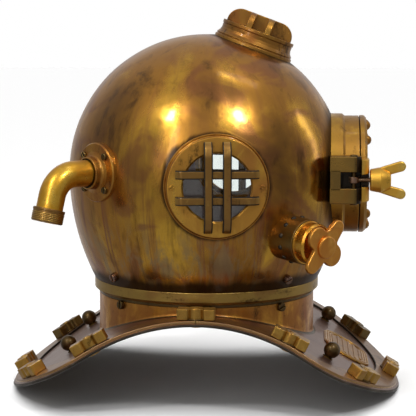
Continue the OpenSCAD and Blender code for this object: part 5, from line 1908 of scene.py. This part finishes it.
@dataclass
class FaceWindow:
    """The face window: a stepped frame with hinge and latch lug, and the door that shuts on it."""

    shop: Workshop
    base_r: float = 70.5
    frame_r: float = 68.0
    hole_r: float = 46.0
    base_y: float = 159.6
    frame_y: float = 177.5
    door_back: float = 178.5
    door_front: float = 186.3
    window_r: float = 43.0
    pane_r: float = 49.0
    retainer_r: float = 53.0
    knuckle_r: float = 6.5
    knuckle_half: float = 9.0
    knuckle_h: float = 14.0
    lug_half: float = 26.4
    pocket_half: float = 9.0
    fork_half: float = 23.6
    fork_slot: float = 6.8
    fork_t: float = 8.9
    bolt_r: float = 5.8
    bolt_circle: float = 59.5

    def hinge(self) -> Matrix:
        """The hinge axis."""
        return HELMET.pin(1, HELMET.hinge_y)

    def latch(self) -> Matrix:
        """The latch axis."""
        return HELMET.pin(-1, HELMET.latch_y)

    def turn_frame(self) -> None:
        """Turns the stepped frame with the gasket's groove, and adds its knuckles and lug."""
        blank, front, base = Blank(), self.frame_y, self.base_y
        profile = [(60, 120), (self.base_r, 120), (self.base_r, base - 1.2), (self.base_r - 0.8, base),
            (self.frame_r, base + 1.8), (self.frame_r, front), (63, front), (63, front - 2.4),
            (55, front - 2.4), (55, front), (self.hole_r, front), (self.hole_r, 138), (60, 138)]
        radii = [0, 0, 0.9, 0.6, 0.6, 0.9, 0.3, 0, 0, 0.3, 0.9, 0.3, 0.3]
        blank.lathe(rounded(profile, radii), HELMET.face(), 160, seat=SEAT)
        arm = arc((0, 0), self.knuckle_r, -149, 90, 24) + [(-22, self.knuckle_r), (-22, -3)]
        gap = self.knuckle_half + 0.4
        for low in (gap, -gap - self.knuckle_h):
            blank.slab(arm, low, low + self.knuckle_h, 0.8, self.hinge())
        self.add_lug(blank)
        self.shop.deliver("face_frame", blank, BONNET, "face_ring", Finish.DOOR,
            [Finish.DOOR, Finish.DRUM, Finish.UNDER], self.lug_part)

    def add_lug(self, blank: Blank) -> None:
        """Adds the latch lug: two barrel-fronted cheeks, a wall behind the pocket and a web.

        Args:
            blank: What the lug is added to.
        """
        inner, outer, rear, front = 10.2, -9, 26.4, -8.1
        cheek = [(inner, rear), (outer, rear), *arc((outer - front, 0), -front, 180, 270, 12),
            (inner, front)]
        for low, high in ((self.pocket_half, self.lug_half), (-self.lug_half, -self.pocket_half)):
            blank.slab(cheek, low, high, 1.1, self.latch())
        wall = box(inner, rear, outer, 14.6)
        blank.slab(rounded(wall, 0.8), -self.pocket_half - 2, self.pocket_half + 2, 0.2, self.latch())
        seat_r = 65.4
        half = math.degrees(math.asin(self.lug_half / seat_r))
        web = [*arc((0, 0), seat_r, 180 + half, 180 - half, 12), (-70, self.lug_half), (-70, -self.lug_half)]
        blank.slab(web, HELMET.latch_y - rear, HELMET.latch_y - front - 0.3, 0.5, HELMET.face())

    def lug_part(self, middle: Vector) -> int:
        """Gives 2 for the pocket and the front of the lug, painted dark as shade, 1 for the rest of the lug,
        a darker umber that is partly painted shade, and 0 for the frame.

        Args:
            middle: The middle of a face, in millimetres.

        Returns:
            The finish's number.
        """
        from_pin = middle - self.latch().translation
        if from_pin.x > 10.4 or abs(from_pin.z) > self.lug_half + 0.2:
            return 0
        in_pocket = abs(from_pin.z) < self.pocket_half + 0.2 and from_pin.x > -8.9
        return 2 if in_pocket or from_pin.y < -3 else 1

    def prong_part(self, middle: Vector) -> int:
        """Gives 2 for the fork's slot, painted dark as shade, 1 for the rest of the fork and 0 for the rest
        of the door.
        """
        x, z = middle.x - self.latch().translation.x, abs(middle.z - self.latch().translation.z)
        return 0 if x > 9 or z > self.fork_half + 0.2 else 2 if z < self.fork_slot + 0.15 else 1

    def turn_door(self) -> None:
        """Turns the door with a bevelled edge, and adds its knuckle and the fork for the bolt."""
        blank, back, front = Blank(), self.door_back, self.door_front
        edge, sunk = self.frame_r + 0.5, front - 2
        profile = [(self.window_r, back), (edge, back), (edge, front - 2.9), (edge - 2.7, front),
            (self.retainer_r + 0.2, front), (self.retainer_r + 0.2, sunk), (self.pane_r + 0.2, sunk),
            (self.pane_r + 0.2, back + 3), (self.window_r, back + 3)]
        blank.lathe(rounded(profile, [0.6, 0.7, 0.9, 0.9, 0.3, 0, 0, 0, 0.3]), HELMET.face(), 160)
        near, away = HELMET.hinge_y - back - 0.1, HELMET.hinge_y - front + 0.3
        arm = arc((0, 0), self.knuckle_r, -115, 160, 28) + [(-10.5, near), (-16, near), (-16, away)]
        blank.slab(arm, -self.knuckle_half, self.knuckle_half, 0.8, self.hinge())
        rear = HELMET.latch_y - self.door_back - 0.2
        face, sweep_r, tip = rear - self.fork_t, self.fork_t + 8.4, 15.1
        start = 180 + math.degrees(math.asin(-rear / sweep_r))
        prong = [(19, face), (19, rear), (-tip, rear), *arc((0, 0), sweep_r, start, 269, 12)]
        web = [(19, face), (19, rear), (5.4, rear), (5.4, face)]
        for low, high in ((self.fork_slot, self.fork_half), (-self.fork_half, -self.fork_slot)):
            blank.slab(prong, low, high, 1.2, self.latch())
        blank.slab(web, -self.fork_slot - 1.5, self.fork_slot + 1.5, 0.2, self.latch())
        self.shop.deliver("door_leaf", blank, DOOR_BODY, "door_ring", Finish.DOOR,
            [Finish.DOOR, Finish.WING, Finish.UNDER], self.prong_part)

    def turn_retainer(self) -> None:
        """Turns the ring that holds the pane, with four slots for its key."""
        blank, low, high = Blank(), self.door_front - 2, self.door_front + 0.4
        inner, outer = self.window_r, self.retainer_r
        blank.lathe(box(inner, low, outer, low + 1.2), HELMET.face(), 128)
        rim = rounded(box(inner, low + 1, outer, high), [0, 0, 0.6, 1])
        for k in range(4):
            blank.lathe(rim, HELMET.face(), 30, start=90 * k + 48.5, sweep=83)
        self.shop.deliver("door_key_ring", blank, DOOR_BODY, "door_retainer", Finish.PORT)

    def fit_bolts(self) -> None:
        """Makes the door's domed bolts."""
        head, rise = Blank(), 4.8
        dome_r = (self.bolt_r ** 2 + rise ** 2) / (2 * rise)
        half = math.degrees(math.asin(self.bolt_r / dome_r))
        head.lathe([(0, -0.5), (self.bolt_r, -0.5), *arc((0, rise - dome_r), dome_r, 90 - half, 89, 10),
            (0, rise)], steps=32)
        places = [HELMET.face() @ turn_by(angle) @ slide(self.bolt_circle, 0, self.door_front)
            for angle in range(15, 360, 30) if abs(angle - 180) > 30]
        self.shop.fasten("domed_bolts", head, places, DOOR_BODY, "door_bolts", Finish.PORT, Finish.PORT)

    def fit_pins(self) -> None:
        """Makes the pins of the hinge and the latch, with domed heads."""
        reach = self.knuckle_half + 0.4 + self.knuckle_h
        for name, place, radius, length, node in (("hinge_spindle", self.hinge(), 3, reach + 0.4,
                "hinge_pin"), ("latch_spindle", self.latch(), 2.5, self.lug_half, "latch_pin")):
            blank, head = Blank(), radius + 1.8
            profile = [(0, -length - 2), (head, -length - 1.4), (head, -length), (radius, -length),
                (radius, length), (head, length), (head, length + 1.4), (0, length + 2)]
            blank.lathe(rounded(profile, [0, 0.8, 0.2, 0.1, 0.1, 0.2, 0.8, 0]), place, 36)
            self.shop.deliver(name, blank, BONNET, node, Finish.DARK)

    def build(self) -> None:
        """Makes the frame, the door and what holds them."""
        self.turn_frame()
        self.turn_door()
        self.turn_retainer()
        pane = (self.pane_r, self.door_back + 3, self.door_front - 2.1)
        self.shop.glaze("door_pane", HELMET.face(), pane, DOOR_BODY, "door_glass")
        self.fit_bolts()
        self.fit_pins()


@dataclass
class SwingBolt:
    """The bolt that swings into the door's fork, and the coned wing nut that draws it tight."""

    shop: Workshop
    nut_base: float = 188.1
    bolt_r: float = 3.0
    bolt_l: float = 37.9
    eye_r: float = 6.0
    eye_half: float = 3.4
    pin_r: float = 2.6
    nut_l: float = 23.0
    wing_t: float = 7.0
    wing_half: float = 5.8

    def along(self, depth: float) -> Matrix:
        """A place on the bolt's axis at a distance from the neck axis, with Z pointing out and Y up."""
        return HELMET.pin(-1, depth) @ turn_by(90, "X")

    def shape_eye(self) -> Blank:
        """Shapes the eye, open towards the shell, and the plain shank.

        Returns:
            The eye and the shank.
        """
        blank = Blank()
        open_half = self.pin_r + 0.2
        reach = math.degrees(math.acos(open_half / self.eye_r))
        eye = [*arc((0, 0), self.eye_r, 180 - reach, 360 + reach, 30), (self.pin_r, 0.4),
            *arc((0, 0), self.pin_r, 0, -180, 14), (-self.pin_r, 0.4)]
        blank.slab(eye, -self.eye_half, self.eye_half, 0.6, HELMET.pin(-1, HELMET.latch_y), 2)
        shank, end = self.bolt_r - 0.5, self.bolt_l
        blank.lathe([(0, 4), (shank, 4), (shank, end - 0.8), (shank - 0.8, end), (0, end)],
            self.along(HELMET.latch_y), 32)
        return blank

    def shape_nut(self) -> None:
        """Turns the coned nut and raises its splayed wings."""
        blank, place, bore = Blank(), self.along(self.nut_base), self.bolt_r + 0.1
        profile = [(bore, 0.4), (11, 0), (12.2, 0.8), (14.4, 12), (13.9, 12.8), (13.9, 13.4), (13, 16),
            (10.4, self.nut_l - 1), (9.2, self.nut_l), (bore, self.nut_l)]
        blank.lathe(rounded(profile, [0.2, 0.6, 0.6, 0.6, 0.3, 0.6, 1.2, 1.5, 0.8, 0.3]), place, 64)
        to_side = Matrix(((0, 0, -1, 0), (0, 1, 0, 0), (1, 0, 0, 0), (0, 0, 0, 1)))
        for sign in (-1, 1):
            root, tip = Vector((9, sign * 8)), Vector((34, sign * 15.4))
            lean = math.degrees(math.atan2(tip.y - root.y, tip.x - root.x))
            wing = (arc(tuple(tip), self.wing_half, lean - 90, lean + 90, 14)
                + arc(tuple(root), self.wing_half - 0.6, lean + 90, lean + 270, 10))
            turned = place @ to_side @ slide(z=-self.wing_t / 2)
            blank.slab(wing, 0, self.wing_t, 1.9, turned, 4)
        self.shop.deliver("coned_wing_nut", blank, NUT_BODY, "latch_nut", Finish.WING)

    def build(self) -> None:
        """Makes the bolt and its nut."""
        start = self.along(HELMET.latch_y) @ slide(z=4.5)
        coil = self.shop.threads.wind("bolt_coil", self.bolt_r - 0.55, self.bolt_l - 6, 1.4, start,
            Finish.SHEET)
        bolt = joined("eye_bolt", [self.shape_eye().cast("eye", [Finish.SHEET]), coil])
        self.shop.hand_over(bolt, BOLT_BODY, Finish.DARK, "swing_bolt")
        self.shape_nut()


@dataclass
class CarriedNodes:
    """The ring under the neck joint and the two packings, which keep their own shape and get a finish."""

    finish_of: tuple[tuple[str, Finish], ...] = (("breastplate_ring", Finish.DARK),
        ("neck_gasket", Finish.LEATHER), ("face_gasket", Finish.RUBBER))

    def build(self) -> None:
        """Dresses the nodes."""
        for name, finish in self.finish_of:
            materials = frame["nodes"][name].data.materials
            materials.clear()
            materials.append(finish.material())
            LOG.info("carried %s in %s", name, finish.name)


@dataclass(frozen=True)
class SoftBox:
    """A soft box: where it hangs round the shell, in degrees and metres, its size and its glow."""

    name: str
    turn: float
    lift: float
    size: Flat
    glow: float
    away: float = 1.9


@dataclass
class Studio:
    """The camera, the floor and the light."""

    camera_at: tuple[float, float, float] = (-1.6065, -0.1141, 0.2944)
    looks: tuple[float, float, float] = (0.9910, 0.0693, -0.1141)
    lens: float = 118.4
    sensor: float = 36.0
    floor_reach: float = 30.0
    low_glow: Flat = (0.34, 0.27)
    high_glow: float = 0.3
    backdrop_glow: float = 0.33
    backdrop_edge: Flat = (0.6, 0.97)
    backdrop_top: Flat = (0.9, 0.3)
    fill: float = 0.15
    sky: float = 3.0
    aim: tuple[float, float, float] = (0.0, 0.0, 0.15)
    boxes: tuple[SoftBox, ...] = (
        SoftBox("left box", 145.0, 46.5, (0.16, 0.3), 46.0),
        SoftBox("left strip", 156.0, 22.0, (0.2, 1.2), 6.0),
        SoftBox("right box", -142.5, 46.5, (0.2, 0.26), 46.0),
        SoftBox("right strip", -87.0, 72.0, (0.2, 0.8), 2.5),
        SoftBox("side strip", -75.0, 12.0, (0.26, 1.5), 1.5),
        SoftBox("front", 175.0, 12.0, (1.6, 1.0), 0.25, 2.6),
    )

    def place_camera(self) -> None:
        """Stands the camera where the photograph was taken from."""
        camera = bpy.data.cameras.new("camera")
        camera.lens = self.lens
        camera.sensor_width = self.sensor
        holder = stand("camera", camera)
        holder.location = self.camera_at
        holder.rotation_euler = Vector(self.looks).to_track_quat("-Z", "Y").to_euler()
        bpy.context.scene.camera = holder

    def lay_floor(self) -> None:
        """Lays a plain pale floor under the breastplate."""
        low = CAD_BOUNDS[0][2]
        reach = self.floor_reach
        mesh = bpy.data.meshes.new("floor")
        mesh.from_pydata([(-reach, -reach, low), (reach, -reach, low), (reach, reach, low),
            (-reach, reach, low)], [], [(0, 1, 2, 3)])
        floor = stand("floor", mesh)
        material = bpy.data.materials.new("floor_pale")
        material.use_nodes = True
        Bench(material.node_tree).plain(Base_Color=(0.88, 0.88, 0.88, 1.0), Roughness=0.8,
            Specular_IOR_Level=0.0)
        mesh.materials.append(material)
        floor.visible_glossy = False

    def paint_room(self) -> None:
        """Gives the world a white backdrop, and a dim room that only the metal reflects."""
        world = bpy.data.worlds.new("studio")
        bpy.context.scene.world = world
        world.use_nodes = True
        bench = Bench(world.node_tree)
        path = bench.raw("ShaderNodeLightPath", {}, {})
        mirrored = Wire(bench, path.outputs["Is Glossy Ray"])
        lit = Wire(bench, path.outputs["Is Diffuse Ray"])
        x, _, z = bench.split(bench.node("ShaderNodeTexCoord", {}, {}, "Generated"))
        backdrop = x.ramp(*self.backdrop_edge) * z.ramp(*self.backdrop_top)
        walls = z.ramp(-0.8, 0.0, *self.low_glow) + z.ramp(0.0, 1.0, 0.0, self.high_glow)
        room = walls + backdrop * self.backdrop_glow
        background = world.node_tree.nodes["Background"]
        background.inputs["Color"].default_value = (1.0, 1.0, 1.0, 1.0)
        strength = mirrored * (room - 1.0) + lit * (self.fill - 1.0) + 1.0
        bench.tree.links.new(strength.socket, background.inputs["Strength"])

    def hang(self, lamp: bpy.types.Light, name: str, at: Vector) -> bpy.types.Object:
        """Hangs a lamp so that it looks at the shell.

        Args:
            lamp: The lamp.
            name: Its holder's name.
            at: Where it hangs.

        Returns:
            The holder.
        """
        holder = stand(name, lamp)
        holder.location = at
        holder.rotation_euler = (Vector(self.aim) - at).to_track_quat("-Z", "Y").to_euler()
        return holder

    def light(self) -> None:
        """Hangs the soft boxes that the metal reflects, and the sky that only lights the floor."""
        for soft in self.boxes:
            lamp = bpy.data.lights.new(soft.name, "AREA")
            lamp.shape = "RECTANGLE"
            lamp.size, lamp.size_y = soft.size
            lamp.energy = soft.glow * math.pi * soft.size[0] * soft.size[1]
            turn, lift = math.radians(soft.turn), math.radians(soft.lift)
            way = Vector((math.cos(turn) * math.cos(lift), math.sin(turn) * math.cos(lift), math.sin(lift)))
            self.hang(lamp, soft.name, way * soft.away + Vector(self.aim))
        sky = bpy.data.lights.new("sky", "SUN")
        sky.angle = math.radians(60.0)
        sky.energy = self.sky
        self.hang(sky, "sky", Vector((0.0, 0.0, 3.0))).visible_glossy = False

    def build(self) -> None:
        """Sets up the whole studio."""
        bpy.context.scene.view_settings.view_transform = "Standard"
        self.place_camera()
        self.lay_floor()
        self.paint_room()
        self.light()


def main() -> None:
    """Builds the studio and the helmet's sub-assemblies in order."""
    logging.basicConfig(level=logging.INFO, format="%(message)s")
    Studio().build()
    shop = Workshop()
    for assembly in (Breastplate, NeckJoint, Bonnet, SideWindows, TopWindow, AirInlets, Exhaust, FaceWindow,
            SwingBolt):
        assembly(shop).build()
    CarriedNodes().build()


if __name__ == "__main__":
    main()
